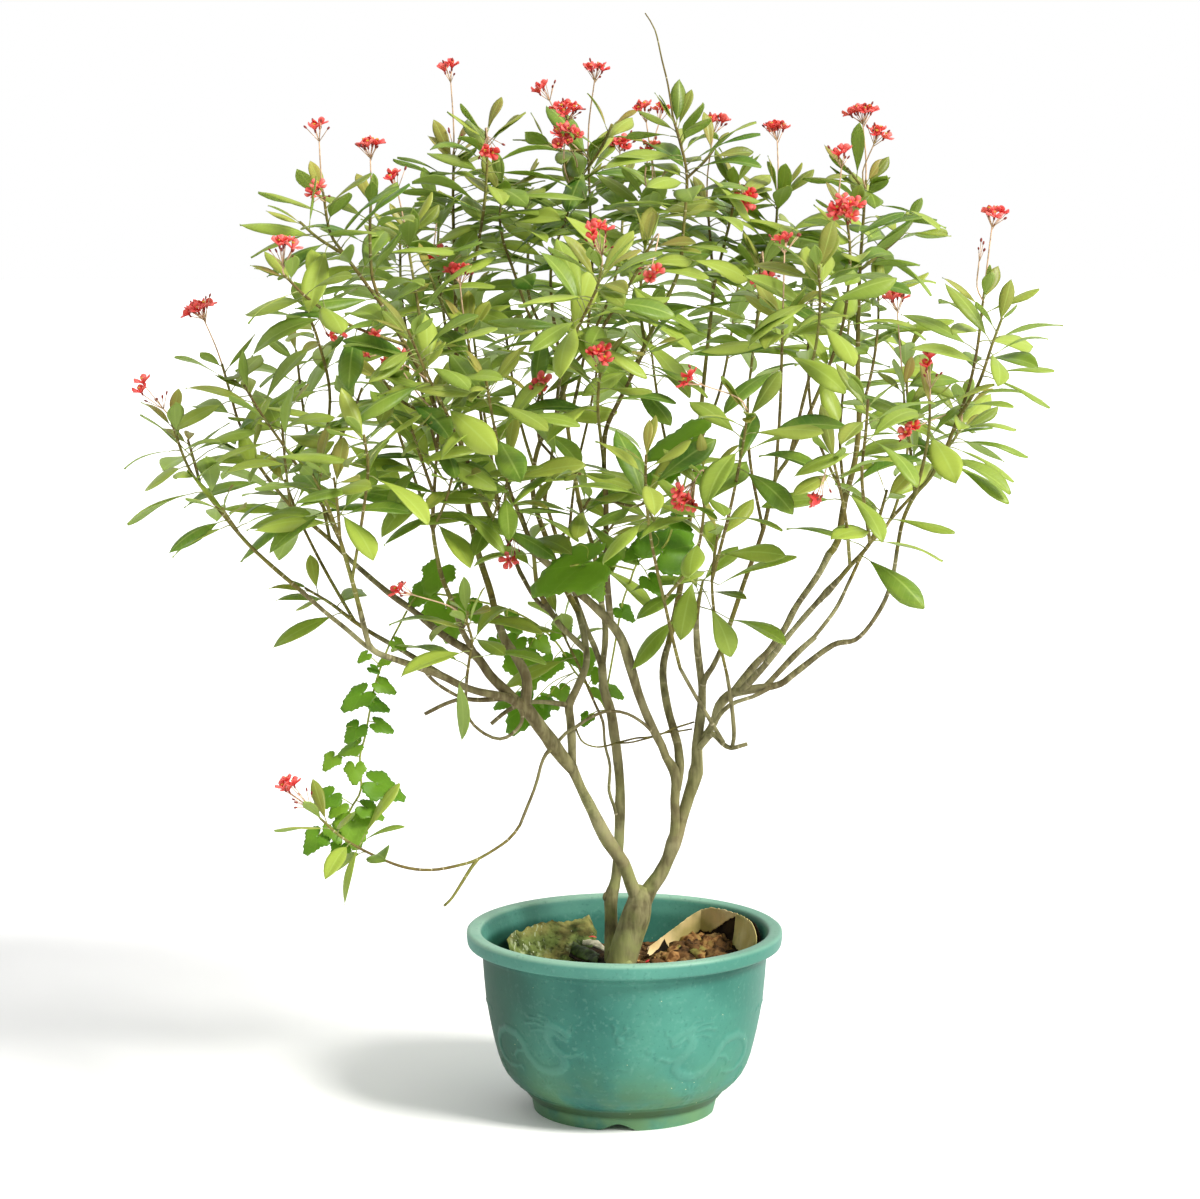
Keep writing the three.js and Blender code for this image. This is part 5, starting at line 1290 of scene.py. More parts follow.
def add_flower(piece, root, face, radius, draw):
    """A flower of five petals on its own thin stalk, with a dark calyx and yellow anthers."""
    axis = ((face - root).normalized() + UP * UPRIGHT).normalized()
    add_tube(piece, [root, face - axis * FLOWER_STALK_END], FLOWER_STALK_RADII, 5, "stalk")
    add_ball(piece, face - axis * CALYX_BELOW, CALYX_RADII, "bud", axis, 4, 6)
    across = axis.orthogonal().normalized()
    turn = draw() * TAU
    shade = draw()
    open_by = mix(*OPEN_BY, draw())
    for k in range(PETALS):
        out = turned(across, axis, turn + k / PETALS * TAU)
        side = out.cross(axis).normalized()
        way = (out * math.cos(open_by) + axis * math.sin(open_by)).normalized()
        length, half = radius * PETAL_LENGTH, radius * PETAL_HALF
        droop = mix(*PETAL_DROOP, draw())
        tint = min(1, max(0, shade + mix(*PETAL_SHADES, draw())))
        add_blade(
            piece, face - axis * PETAL_FOOT, way, side, length, half, PETAL_SHAPE, "petal", droop, 0.0,
            PETAL_CURL, tint=tint,
        )
    for k in range(ANTHERS):
        spread = turned(across, axis, k / ANTHERS * TAU + turn)
        spot = face + axis * ANTHER_RISE + spread * ANTHER_APART
        add_ball(piece, spot, ANTHER_RADII, "anther", axis, 3, 5)


# How many flowers a bloom has and how far they spread in metres, by its size from 0 to 4
FLOWER_COUNTS = (0, 2, 4, 5, 7)
FLOWER_SPREADS = (0.008, 0.012, 0.016, 0.019, 0.023)
FLOWER_SIZES = (0.8, 1.05)
FLOWER_HEIGHTS = (1.05, 0.75)
# How far below the flowers a tall stalk forks, and from which height it counts as tall, in metres
BLOOM_DEPTH = 0.026
TALL_STALK = 0.09
BLOOM_STALK_RADII = (0.0015, 0.0011)
LEAST_BUDS = 4
BUD_STALK_RADIUS = 0.0007


def bloom_top(foot, head):
    """Where the stalk forks."""
    rise = (head - foot).length
    if rise > TALL_STALK:
        return foot.lerp(head, 1 - BLOOM_DEPTH / rise)
    return foot.lerp(head, 0.4) - UP * 0.008


def add_bloom(piece, foot, way, head, size, draw):
    """A cyme: a long bare stalk that forks into short ones with flowers and dark buds."""
    top = bloom_top(foot, head)
    bend = foot + way * (0.4 * (top - foot).length)
    bend = bend.lerp(foot.lerp(top, 0.4), 0.6)
    path = rounded([foot - way * 0.003, bend, top], 0.012)
    add_tube(piece, path, [mix(*BLOOM_STALK_RADII, k / len(path)) for k in range(len(path))], 6, "stalk")
    up = (top - bend).normalized()
    across = up.orthogonal().normalized()
    count = FLOWER_COUNTS[size]
    for k in range(count):
        out = turned(across, up, k * GOLDEN_ANGLE + draw())
        reach = FLOWER_SPREADS[size] * math.sqrt((k + 0.5) / count)
        lift = (head - top).length * mix(*FLOWER_HEIGHTS, k / count)
        root = top - up * (0.004 * (k % 3))
        face = top + up * lift + out * reach
        add_flower(piece, root, face, FLOWER_RADIUS * MM * mix(*FLOWER_SIZES, draw()), draw)
    for k in range(LEAST_BUDS + size):
        out = turned(across, up, k * GOLDEN_ANGLE * 1.7 + 2 * draw())
        tip = top + up * (0.012 + 0.02 * draw()) + out * (0.007 + 0.018 * draw())
        add_even_tube(piece, [top - up * 0.003, tip], BUD_STALK_RADIUS, 4, "stalk")
        way_out = (tip - top).normalized()
        add_ball(piece, tip + way_out * 0.0025, (0.0017 + 0.0006 * draw(), 0.004), "bud", way_out, 4, 6)


# Wood

# Where the wood has knots and healed stubs: the branch, how far along it, and the size
KNOTS = [
    ("trunk", 0.35, 1.0), ("trunk", 0.7, 0.9), ("main_left", 0.3, 0.9), ("main_left", 0.75, 1.1),
    ("main_right", 0.2, 0.8), ("main_right", 0.55, 1.0), ("middle_stem", 0.15, 1.3),
    ("middle_stem", 0.3, 1.2), ("middle_stem", 0.62, 1.1), ("cross_stem", 0.4, 1.1),
    ("cross_stem", 0.7, 1.1), ("right_inner", 0.4, 1.2), ("right_bough", 0.6, 1.2),
    ("knotted_right", 0.98, 1.7), ("low_right", 0.78, 1.5), ("mid_left", 0.45, 1.2),
    ("left_rise", 0.3, 1.2), ("outer_right", 0.45, 1.3), ("left_bough", 0.6, 1.3), ("grey_stem", 0.5, 1.1),
]
KNOT_SEED = 401
KNOT_SINK = 0.72
KNOT_SHAPE = (0.42, 0.62)
TRUNK_FULLER = 1.04
BARK_LUMPS = 0.16
# Branches thicker than this have more sides, in metres
THICK_BRANCH = 0.012


def wood_path(name):
    """The points and radii of a bare branch."""
    stations = WOOD[name]
    points = placed(stations)
    curve = Path(points, 0.012)
    marks = [0]
    for a, b in zip(points, points[1:]):
        marks.append(marks[-1] + (b - a).length)
    given = [station[3] * MM for station in stations]
    lengths = np.array(curve.lengths) / curve.total * marks[-1]
    return curve.points, list(np.interp(lengths, marks, given))


def add_knot(piece, name, at, size, draw):
    """A lump on the side of a branch that is towards the front."""
    points, radii = wood_path(name)
    k = min(int(at * len(points)), len(points) - 2)
    way = (points[k + 1] - points[k]).normalized()
    out = Vector((math.cos(draw() * TAU), -abs(math.sin(draw() * TAU)), 0)).normalized()
    spot = points[k] + out * radii[k] * KNOT_SINK
    add_ball(piece, spot, [radii[k] * share * size for share in KNOT_SHAPE], "bark", way, 6, 10)


def build_wood():
    piece = Piece()
    for name in WOOD:
        points, radii = wood_path(name)
        if name == "trunk":
            radii = [r * TRUNK_FULLER for r in radii]
        add_tube(piece, points, radii, 20 if max(radii) > THICK_BRANCH else 10, "bark", BARK_LUMPS)
    draw = seeded(KNOT_SEED)
    for name, at, size in KNOTS:
        add_knot(piece, name, at, size, draw)
    piece.make("trunk_and_branches_look", "wood", ["trunk_and_branches"])


# Leafy stems and blooms

# Short shoots beside those of the sprays, where the plant is densest, as (leaves, path)
MORE_SHOOTS = {
    "left_upright": [
        (9, [(462, 630, -76), (466, 622, -104), (468, 612, -130)]),
        (10, [(433, 530, -84), (446, 500, -130), (452, 478, -165)]),
        (9, [(437, 450, -118), (424, 400, -90), (418, 368, -70)]),
    ],
    "grey_stem": [
        (9, [(478, 552, -20), (492, 520, -80), (500, 498, -120)]),
        (10, [(456, 330, 80), (440, 300, 20), (430, 276, -10)]),
    ],
    "left_rise": [
        (10, [(290, 505, 30), (284, 450, -20), (282, 418, -50)]),
        (10, [(318, 480, 60), (350, 420, 20), (362, 388, 0)]),
    ],
    "cross_stem": [
        (10, [(500, 530, -68), (506, 490, -130), (508, 462, -165)]),
        (10, [(440, 420, -104), (400, 400, -150), (382, 378, -175)]),
    ],
    "mid_left": [
        (8, [(550, 548, 22), (576, 520, -50), (590, 498, -95)]),
        (7, [(563, 583, 30), (590, 556, -10), (606, 534, -40)]),
        (10, [(540, 442, -8), (566, 470, -110), (580, 474, -160)]),
    ],
    "dark_upright": [
        (6, [(606, 500, -58), (634, 506, -120), (650, 500, -160)]),
        (9, [(687, 178, -4), (706, 160, 20), (716, 146, 32)]),
    ],
    "back_stem": [
        (6, [(566, 568, 120), (604, 536, 170), (624, 508, 190)]),
    ],
    "right_inner": [
        (5, [(684, 565, 118), (660, 530, 60), (646, 506, 30)]),
    ],
    "crown_stem": [
        (9, [(588, 150, 190), (560, 150, 180), (542, 138, 176)]),
        (9, [(576, 184, 132), (600, 150, 110), (612, 124, 100)]),
    ],
    "knotted_right": [
        (8, [(866, 192, 96), (855, 178, 84), (847, 168, 80)]),
    ],
}
# Radii of young stems, in millimetres
TIP_RADIUS = 2.3
FORK_RADIUS = 3.2
MORE_RADIUS = 2.6
BARE_RADII = (1.9, 1.1)
YOUNG_LUMPS = 0.12
# Leaves beside those of the rule, as a share of them: least low down and at the sides, and most at the
# middle's top
LEAST_EXTRA = 0.05
MOST_EXTRA = 0.7
MORE_FROM_HEIGHT = (1.2, 1.5)
FEWER_FROM_MIDDLE = (0.3, 0.5)
EXTRA_START = 0.6
# Seeds of the random draws
BLOOM_SEED = 91
LOOKS_SEED = 733
EXTRA_SEED = 500
MORE_SEED = 900
MORE_SEED_STEP = 31
# Blooms of this size have a node of their own
OWN_NODE_SIZE = 3
BLOOM_SPACING = 16
BLOOM_ASIDE = 0.9


def tapered(path, foot_radius):
    """Radii along a path, from this one to the tip's."""
    return [mix(foot_radius, TIP_RADIUS, length / path.total) * MM for length in path.lengths]


def extra_share(tip):
    """How many more leaves than the rule's a shoot with this tip has."""
    in_middle = 1 - smooth(*FEWER_FROM_MIDDLE, abs(tip.x))
    return mix(LEAST_EXTRA, MOST_EXTRA, smooth(*MORE_FROM_HEIGHT, tip.z) * in_middle)


def add_shoot(piece, item, wood_end, number, looks):
    """A shoot with its leaves, which grows on from the wood's end if one is given. Gives its path."""
    stations = ([wood_end[:3]] if wood_end else []) + item["path"]
    path = Path(placed(stations))
    points = list(path.points)
    radii = tapered(path, wood_end[3] if wood_end else FORK_RADIUS)
    if item["bare"]:
        bare = rounded([points[-1]] + placed(item["bare"]), 0.014)[1:]
        points += bare
        radii += [mix(*BARE_RADII, k / len(bare)) * MM for k in range(len(bare))]
    add_tube(piece, points, radii, 8, "young stem", YOUNG_LUMPS)
    add_leaves(piece, leaves_of(path, item["leaves"], seeded(number), looks))
    more = round(item["leaves"] * extra_share(path.points[-1]))
    add_leaves(piece, leaves_of(path, more, seeded(EXTRA_SEED + number), looks, EXTRA_START))
    return path


def add_short_shoot(piece, count, stations, seed, looks):
    """A shoot with leaves by the rule only."""
    path = Path(placed(stations))
    add_tube(piece, path.points, tapered(path, MORE_RADIUS), 7, "young stem", YOUNG_LUMPS)
    add_leaves(piece, leaves_of(path, count, seeded(seed), looks))


def add_blooms(small, path, blooms, draw, numbers):
    """The blooms at the end of a shoot: the first has a node of its own if it is large."""
    for k, (centre, size) in enumerate(blooms):
        point, way = path.at(path.total - BLOOM_SPACING * MM * k)
        head = place(centre)
        if k:
            aside = way.cross(Vector((0, 1, 0))).normalized() * (BLOOM_ASIDE if k == 1 else -BLOOM_ASIDE)
            way = ((head - point).normalized() + aside).normalized()
        if size >= OWN_NODE_SIZE and k == 0:
            node = f"bloom_{next(numbers):02d}"
            bloom = Piece()
            add_bloom(bloom, point, way, head, size, draw)
            bloom.make(f"{node}_look", "bloom", [node])
        else:
            add_bloom(small, point, way, head, size, draw)


def build_sprays():
    number = 0
    bloom_numbers = itertools.count(1)
    bloom_draw = seeded(BLOOM_SEED)
    looks = seeded(LOOKS_SEED)
    for name, shoots in SPRAYS.items():
        leafy, small_blooms = Piece(), Piece()
        wood_end = WOOD[name][-1]
        curves = []
        for item in shoots:
            number += 1
            path = add_shoot(leafy, item, wood_end if item is shoots[0] else None, number, looks)
            curves.append(path.points)
            add_blooms(small_blooms, path, item["blooms"], bloom_draw, bloom_numbers)
        for k, (count, stations) in enumerate(MORE_SHOOTS.get(name, [])):
            add_short_shoot(leafy, count, stations, MORE_SEED + MORE_SEED_STEP * number + k, looks)
        for foot, tip, width in LARGE_LEAVES.get(name, []):
            add_leaf(leafy, large_leaf(curves, foot, tip, width, looks))
        leafy.make(f"leafy_{name}_look", "leaf", [f"leafy_{name}"])
        if small_blooms.faces:
            small_blooms.make(f"blooms_on_{name}", "bloom")


# The vine

# More of the vine's leaves, that the solids leave out
MORE_VINE_LEAVES = {
    "vine_stem": [
        (507, 618, 56, 28, 0.5), (552, 662, 98, 28, -0.3), (560, 690, 112, 22, 0.3),
        (611, 690, 102, 20, 0.9), (498, 640, 50, 22, 0.4), (538, 640, 84, 24, 0.5),
        (562, 626, 92, 24, -0.4), (588, 716, 108, 16, -0.3), (425, 590, -24, 30, -0.5),
        (470, 606, 40, 26, 0.3), (571, 655, 112, 20, 0.4), (545, 700, 104, 22, 0.9),
        (508, 700, 90, 22, -0.9), (598, 672, 112, 18, -0.2), (516, 640, 66, 26, -0.5),
    ],
    "vine_hanging": [
        (374, 703, -178, 22, 1.2), (355, 746, -192, 24, -1.1), (318, 836, -222, 28, -0.4),
        (366, 808, -218, 26, 1.0), (333, 828, -220, 22, 0.3), (341, 846, -220, 22, -0.3),
        (386, 660, -140, 14, -0.8), (396, 642, -114, 16, 0.7), (366, 655, -150, 14, -0.6),
        (372, 668, -158, 12, 0.8), (340, 806, -212, 20, -0.5),
    ],
    "vine_runner": [
        (650, 580, -110, 24, 0.4), (612, 556, -118, 26, -1.2), (668, 470, -116, 36, -1.2),
        (622, 610, 70, 22, 0.6), (702, 474, -118, 30, 0.9), (640, 548, -108, 26, -0.8),
        (600, 690, 100, 22, 0.4), (676, 520, -112, 24, 0.9),
    ],
}
# The outline of the vine's leaf: how far it reaches at turns from its stalk to its tip
VINE_LOBES = [
    (0.0, 0.05), (0.24, 0.3), (0.55, 0.52), (0.95, 0.6), (1.25, 0.57), (1.5, 0.64), (1.72, 0.68),
    (1.95, 0.61), (2.2, 0.57), (2.5, 0.66), (2.8, 0.82), (3.02, 0.98), (math.pi, 1.04),
]
VINE_TEETH = (0.96, 1.05)
VINE_LEAF_SCALE = 0.78
VINE_LEAF_COLUMNS = 44
VINE_LEAF_RINGS = 6
VINE_VEINS = 7
VINE_SEED = 517
VINE_RADIUS = 0.0019
VINE_STALK_RADIUS = 0.001
TENDRIL_POINTS = 25
TENDRIL_RADIUS = 0.0006
TENDRIL_LENGTH = 0.05
TENDRIL_WIDTH = 0.009
TENDRIL_TURN = 9


def vine_outline(count):
    """How far the blade reaches from its stalk at each turn, with small teeth."""
    turns = turns_of(count)
    reaches = []
    for k, turn in enumerate(turns):
        reach = float(np.interp(min(turn, TAU - turn), *zip(*VINE_LOBES)))
        reaches.append(reach * VINE_TEETH[k % 2])
    return turns, reaches


def add_vine_leaf(piece, top, stem, width, tilt, draw):
    """A lobed leaf that hangs from its stalk, tilted to one side and a little cupped and waved."""
    size = width * STEP * MM * VINE_LEAF_SCALE
    lying = abs(math.sin(tilt))
    facing = Vector((0.4 * math.sin(tilt), 0.25 * lying - 0.8, 0.5 + 0.3 * lying)).normalized()
    down = Vector((math.sin(tilt), 0, -math.cos(tilt)))
    down = (down - facing * down.dot(facing)).normalized()
    side = down.cross(facing).normalized()
    turns, reaches = vine_outline(VINE_LEAF_COLUMNS)
    rows, lifts, across, along = [], [], [], []
    wave = draw() * TAU
    for i in range(VINE_LEAF_RINGS + 1):
        share = max(i / VINE_LEAF_RINGS, 0.02)
        row, row_lifts = [], []
        for turn, reach in zip(turns + turns[:1], reaches + reaches[:1]):
            x = -math.sin(turn) * reach * share
            y = -math.cos(turn) * reach * share
            cup = 0.16 * x * x + 0.12 * y * y - 0.03 * math.sin(3 * turn + wave) * share
            row.append(top + side * (x * size) + down * (y * size) - facing * (cup * size))
            row_lifts.append((facing + side * (0.32 * x) + down * (0.24 * y)).normalized())
            across.append(float(abs(((turn / TAU * VINE_VEINS + 0.5) % 1) - 0.5) * 2))
            along.append(float(share))
        rows.append(row)
        lifts.append(row_lifts)
    add_plate(piece, rows, lifts, BLADE_THICKNESS, "vine leaf", across, along, tint=draw())
    middle = stem.lerp(top, 0.5) + UP * (0.1 * (top - stem).length)
    stalk = rounded([stem, middle, top - facing * BLADE_THICKNESS], 0.008)
    add_even_tube(piece, stalk, VINE_STALK_RADIUS, 5, "vine stem")


def add_tendril(piece, start, draw):
    """A thin thread that winds more and more widely."""
    lean = Vector((draw() - 0.5, -0.3, 0.6)).normalized()
    side = lean.orthogonal().normalized()
    points = []
    for k in range(TENDRIL_POINTS + 1):
        t = k / TENDRIL_POINTS
        out = turned(side, lean, TENDRIL_TURN * t)
        points.append(start + lean * (TENDRIL_LENGTH * t) + out * (TENDRIL_WIDTH * t))
    add_even_tube(piece, points, TENDRIL_RADIUS, 4, "vine stem")


def build_vine():
    draw = seeded(VINE_SEED)
    for name, vine in VINE.items():
        piece = Piece()
        curves = [rounded(placed(stem), 0.01) for stem in vine["stems"]]
        for curve in curves:
            add_even_tube(piece, curve, VINE_RADIUS, 7, "vine stem")
        for *spot, width, tilt in vine["leaves"] + MORE_VINE_LEAVES[name]:
            top = place(spot)
            add_vine_leaf(piece, top, nearest_on(curves, top), width, tilt, draw)
        for curve in curves:
            add_tendril(piece, curve[len(curve) * 2 // 3], draw)
        piece.make(f"{name}_look", "vine", [name])


# The pot
def even_profile(stations, every):
    """Points along a row of (radius, height), closer together than so far."""
    made = []
    for (r0, z0), (r1, z1) in zip(stations, stations[1:]):
        steps = max(1, math.ceil(math.hypot(r1 - r0, z1 - z0) / every))
        made += [(mix(r0, r1, k / steps), mix(z0, z1, k / steps)) for k in range(steps)]
    return made + [stations[-1]]


POT_COLUMNS = 540
WALL_PROFILE = [
    (162, 0), (164, 10), (166, 22), (168, 25.5), (172, 28), (176, 33), (181, 39.5), (182.5, 40.5),
    (183, 42.5), (192, 49.5), (203, 59), (212, 70.5), (219, 84), (225, 101), (230.5, 122), (236, 146),
    (241, 172), (246, 201), (249.5, 240), (252, 275), (253.2, 291), (254.5, 295.5), (258, 297),
    (274, 297.4), (277.2, 298.6), (278.4, 301), (279.6, 310), (280, 317), (279, 321.5), (276, 323.8),
    (272, 324.2), (262, 323.8), (257, 322.6), (254.5, 319.5),
]
INNER_PROFILE = [
    (254.5, 319.5), (252.5, 312), (249, 300), (247, 292), (243.5, 240), (240, 200), (235, 160), (226, 120),
    (212, 88),
]
# The wall's outer side ends just before the profile first passes this radius
RIM_FROM = 276
NOTCH_COUNT = 4
NOTCH_TURN = -0.07
NOTCH_HALF = 38
NOTCH_RISE = 12
NOTCH_RADIUS = 160
# Up to where the notches bend the foot
NOTCH_TOP = 24

# Low relief, as strokes of (turn round the wall in degrees, height) with their half width and rise. The front
# is at 0 and the strokes are repeated at the back.
DRAGON = [
    ([(28.5, 197), (25, 194), (21.5, 187), (19.6, 180)], 6.5, 2.4),
    ([(25, 182), (22.4, 174), (20, 170)], 4, 2.4),
    ([(26.5, 200), (29, 209), (33, 211)], 2.4, 1.9),
    ([(28.5, 197), (33, 204), (38, 203)], 2.4, 1.9),
    ([(29, 190), (34.5, 195), (40, 190)], 2.8, 1.9),
    ([(28.5, 183), (33, 184), (37.5, 178)], 2.6, 1.8),
    ([(19.8, 185), (16.8, 190), (16.6, 198)], 1.5, 1.5),
    ([(27, 187), (29, 172), (26.5, 155), (22.5, 140), (21.5, 126), (24.5, 113), (30, 107)], 9, 2.4),
    ([(30, 107), (36, 112), (41, 130), (43, 150), (47, 165), (54, 168)], 8.5, 2.4),
    ([(54, 168), (60, 158), (64, 141), (65, 122), (62, 108)], 7, 2.2),
    ([(62, 108), (57, 99), (51, 101)], 4, 2.0),
    ([(51, 101), (47, 106), (46, 99)], 2.6, 1.8),
    ([(25, 146), (19, 141), (15.4, 147)], 3.8, 2.0),
    ([(15.4, 147), (13.2, 151)], 1.7, 1.6),
    ([(15.4, 147), (12.8, 144)], 1.7, 1.6),
    ([(42, 138), (48, 133), (50.5, 123)], 3.8, 2.0),
    ([(50.5, 123), (53.5, 121)], 1.7, 1.6),
    ([(50.5, 123), (50, 116)], 1.7, 1.6),
]
# Which strokes of the dragon have scales, and how long a scale is
SCALED = (7, 8, 9)
SCALE_LENGTH = 5.5
SCALE_DEPTH = 0.22
# The second dragon is the first one mirrored about this turn, and a little higher
MIRROR_TURN = -4.5
MIRROR_LIFT = 7
PEARL = [
    ([(-2.3, 186), (-2.2, 185)], 7, 2.4),
    ([(-4.4, 195), (-3.6, 206), (-5.0, 214)], 2.2, 1.8),
    ([(-1.2, 196), (0.6, 203), (0.2, 211)], 2.2, 1.8),
    ([(0.6, 188), (3.2, 192), (4.2, 199)], 2.0, 1.6),
    ([(-3.6, 177), (-1.2, 172), (1.4, 175)], 1.8, 1.5),
    ([(4.4, 154), (5.8, 151), (7.2, 154)], 1.8, 1.5),
]
CLOUDS = [
    ([(-7, 132), (-4.6, 128), (-2.4, 132), (0, 127), (2.4, 131)], 2.0, 1.3),
    ([(-72, 196), (-76, 201), (-80, 196), (-84, 201)], 2.2, 1.3),
    ([(70, 196), (74, 201), (78, 196), (82, 201)], 2.2, 1.3),
]
# Small stars and fans of rays: (turn, height, reach, rays)
STARS = [
    (-18, 150, 7, 6), (10, 162, 6, 6), (-37, 82, 16, 9), (31.5, 75, 16, 9), (-72, 92, 13, 9),
    (66, 82, 13, 9),
]
RAY_HALF = 1.9
RAY_RISE = 1.5
WALL_RADIUS = 236
WALL_DEGREE = math.pi / 180 * WALL_RADIUS
# The rise that the pot's paint takes as fully raised
FULL_RISE = 2.6
# A fine line under the rim and a groove over the foot: (height, rise, width)
LINES = [(286, 0.8, 4), (43, -1.3, 5)]
# A row of dashes over the groove: their height, half height and rise, and how many go round
DASH_HEIGHT = 50
DASH_HALF = 2.8
DASH_RISE = 1.3
DASHES = 60
FLOOR_RADIUS = 212
FLOOR_HEIGHT = 88
FLOOR_SIDES = 64
UNDERSIDE_SIDES = 160
UNDERSIDE_RINGS = (162, 144, 124, 104, 92, 84, 76)
# The drain channels end here, under the pot's middle
CHANNEL_END = 80


def all_strokes():
    """Every stroke of the relief as (points, half width, rise, whether it has scales)."""
    strokes = []
    for k, (points, half, rise) in enumerate(DRAGON):
        mirrored = [(MIRROR_TURN - turn, height + MIRROR_LIFT) for turn, height in points]
        strokes += [(points, half, rise, k in SCALED), (mirrored, half, rise, k in SCALED)]
    strokes += [(*given, False) for given in PEARL + CLOUDS]
    for turn, height, reach, rays in STARS:
        for angle in turns_of(rays):
            aside = reach * math.cos(angle) / WALL_RADIUS * 180 / math.pi
            tip = (turn + aside, height + reach * math.sin(angle))
            strokes.append(([(turn, height), tip], RAY_HALF, RAY_RISE, False))
    return strokes


def relief(turns, heights):
    """How far the wall stands out, in millimetres, over a grid of turns (degrees) and heights."""
    risen = np.zeros_like(turns)
    around = turns * WALL_DEGREE
    for points, half, rise, scaled in all_strokes():
        run = 0.0
        for (t0, z0), (t1, z1) in zip(points, points[1:]):
            start = np.array([t0 * math.pi / 180 * WALL_RADIUS, z0])
            step = np.array([t1 * math.pi / 180 * WALL_RADIUS, z1]) - start
            length = max(float(np.hypot(*step)), 0.01)
            onward = (around - start[0]) * step[0] + (heights - start[1]) * step[1]
            share = np.clip(onward / length**2, 0, 1)
            far = np.hypot(around - start[0] - share * step[0], heights - start[1] - share * step[1])
            dome = rise * np.sqrt(np.clip(1 - (far / half) ** 2, 0, 1))
            if scaled:
                scales = np.abs(np.sin((run + share * length) / SCALE_LENGTH * math.pi)) * (far < half * 0.9)
                dome *= 1 - SCALE_DEPTH + SCALE_DEPTH * scales
            risen = np.maximum(risen, dome)
            run += length
    return risen


def notch(turns):
    """How far the foot is cut away over the drain channels, in millimetres."""
    spacing = TAU / NOTCH_COUNT
    away = np.abs((turns - NOTCH_TURN + spacing / 2) % spacing - spacing / 2) * NOTCH_RADIUS
    return NOTCH_RISE * (0.5 + 0.5 * np.cos(math.pi * np.clip(away / NOTCH_HALF, 0, 1)))


def trim(turns, heights):
    """The line under the rim, the groove over the foot and the dashes over it."""
    made = (np.abs(heights - DASH_HEIGHT) < DASH_HALF) * (np.sin(DASHES * turns) > 0.5) * DASH_RISE
    for height, rise, width in LINES:
        made = made + rise * np.exp(-((heights - height) ** 2) / width)
    return made


def build_pot():
    profile = even_profile(WALL_PROFILE, 3.2)[:-1] + even_profile(INNER_PROFILE, 9)
    radii, heights = (np.array(values) for values in zip(*profile))
    outer = int(np.argmax(radii > RIM_FROM)) - 1
    on_wall = (np.arange(len(profile)) < outer)[:, None]
    turns, heights = np.meshgrid(np.linspace(0, TAU, POT_COLUMNS, endpoint=False), heights)
    front = relief(np.degrees((turns + math.pi) % TAU - math.pi), heights)
    back = relief(np.degrees(turns % TAU - math.pi), heights)
    raised = np.maximum(front, back) * on_wall
    wide = radii[:, None] + raised + trim(turns, heights) * on_wall
    cut = notch(turns) * np.clip(1 - heights / NOTCH_TOP, 0, 1) * on_wall
    corners = np.stack([wide * np.sin(turns), -wide * np.cos(turns), heights + cut], -1).reshape(-1, 3) * MM
    piece = Piece()
    faces = band_faces(len(profile) - 1, POT_COLUMNS)
    shares = [float(v) for v in (raised / FULL_RISE).reshape(-1)]
    piece.add([Vector(c) for c in corners], faces, "pot", raised=shares)
    add_underside(piece)
    piece.make("pot_look", "pot", ["pot"])


def add_underside(piece):
    """The flat underside with its drain channels, and the plain floor inside under the soil."""
    corners = []
    for radius in UNDERSIDE_RINGS:
        for turn in turns_of(UNDERSIDE_SIDES):
            rise = float(notch(np.array(turn))) * (1 if radius > CHANNEL_END else 0)
            corners.append(Vector((*on_ring(radius, turn), rise)) * MM)
    faces = band_faces(len(UNDERSIDE_RINGS) - 1, UNDERSIDE_SIDES, 0, True)
    faces.append(tuple(range(len(corners) - UNDERSIDE_SIDES, len(corners)))[::-1])
    piece.add(corners, [], "pot", flat=faces)
    floor = [Vector((*on_ring(FLOOR_RADIUS, turn), FLOOR_HEIGHT)) * MM for turn in turns_of(FLOOR_SIDES)]
    piece.add(floor, [], "pot", flat=[tuple(range(FLOOR_SIDES))])


# The ground and what lies on it

SOIL_SEED = 211
SOIL_RADIUS = 240.5
SOIL_RINGS = 60
SOIL_COLUMNS = 150
# The soil's side and underside, as (radius, height)
SOIL_BELOW = [(236, 196), (209, 92), (172, 92)]
SMALL_CLODS = 330
SMALL_CLOD_RADIUS = 232
SMALL_CLOD_SIZES = (2.5, 9)
HEAP_LIFT = 0.35


def ground_rise(x, y):
    """The slope and the mounds of the soil's top, as in the part's source."""
    slope = 12 * smooth(-100, 220, y)
    return slope + 5 * math.sin(x / 37 + 1.2) * math.cos(y / 43) + 3 * math.sin(y / 21 + x / 29)


def ground_height(x, y):
    """The soil's top with the small bumps that the solids leave out."""
    bumps = 5 * bumpy(x, y, 24, 0.3) + 3 * bumpy(x, y, 8, 4.1)
    return SOIL_LEVEL + ground_rise(x, y) + bumps


def build_soil():
    piece = Piece()
    corners = []
    for i in range(SOIL_RINGS + 1):
        for turn in turns_of(SOIL_COLUMNS):
            x, y = on_ring(SOIL_RADIUS * i / SOIL_RINGS, turn)
            corners.append(Vector((x, y, ground_height(x, y))) * MM)
    for radius, height in SOIL_BELOW:
        corners += [Vector((*on_ring(radius, turn), height)) * MM for turn in turns_of(SOIL_COLUMNS)]
    piece.add(corners, band_faces(SOIL_RINGS + len(SOIL_BELOW), SOIL_COLUMNS, 0, True), "soil")
    draw = seeded(SOIL_SEED)
    for _ in range(SMALL_CLODS):
        turn, radius = draw() * TAU, SMALL_CLOD_RADIUS * math.sqrt(draw())
        add_clod(piece, *on_ring(radius, turn), mix(*SMALL_CLOD_SIZES, draw() ** 2.2), draw, "soil")
    for x, y, size, look in CLODS:
        add_clod(piece, x, y, size, draw, look, HEAP_LIFT)
    piece.make("soil_look", "soil", ["soil"])
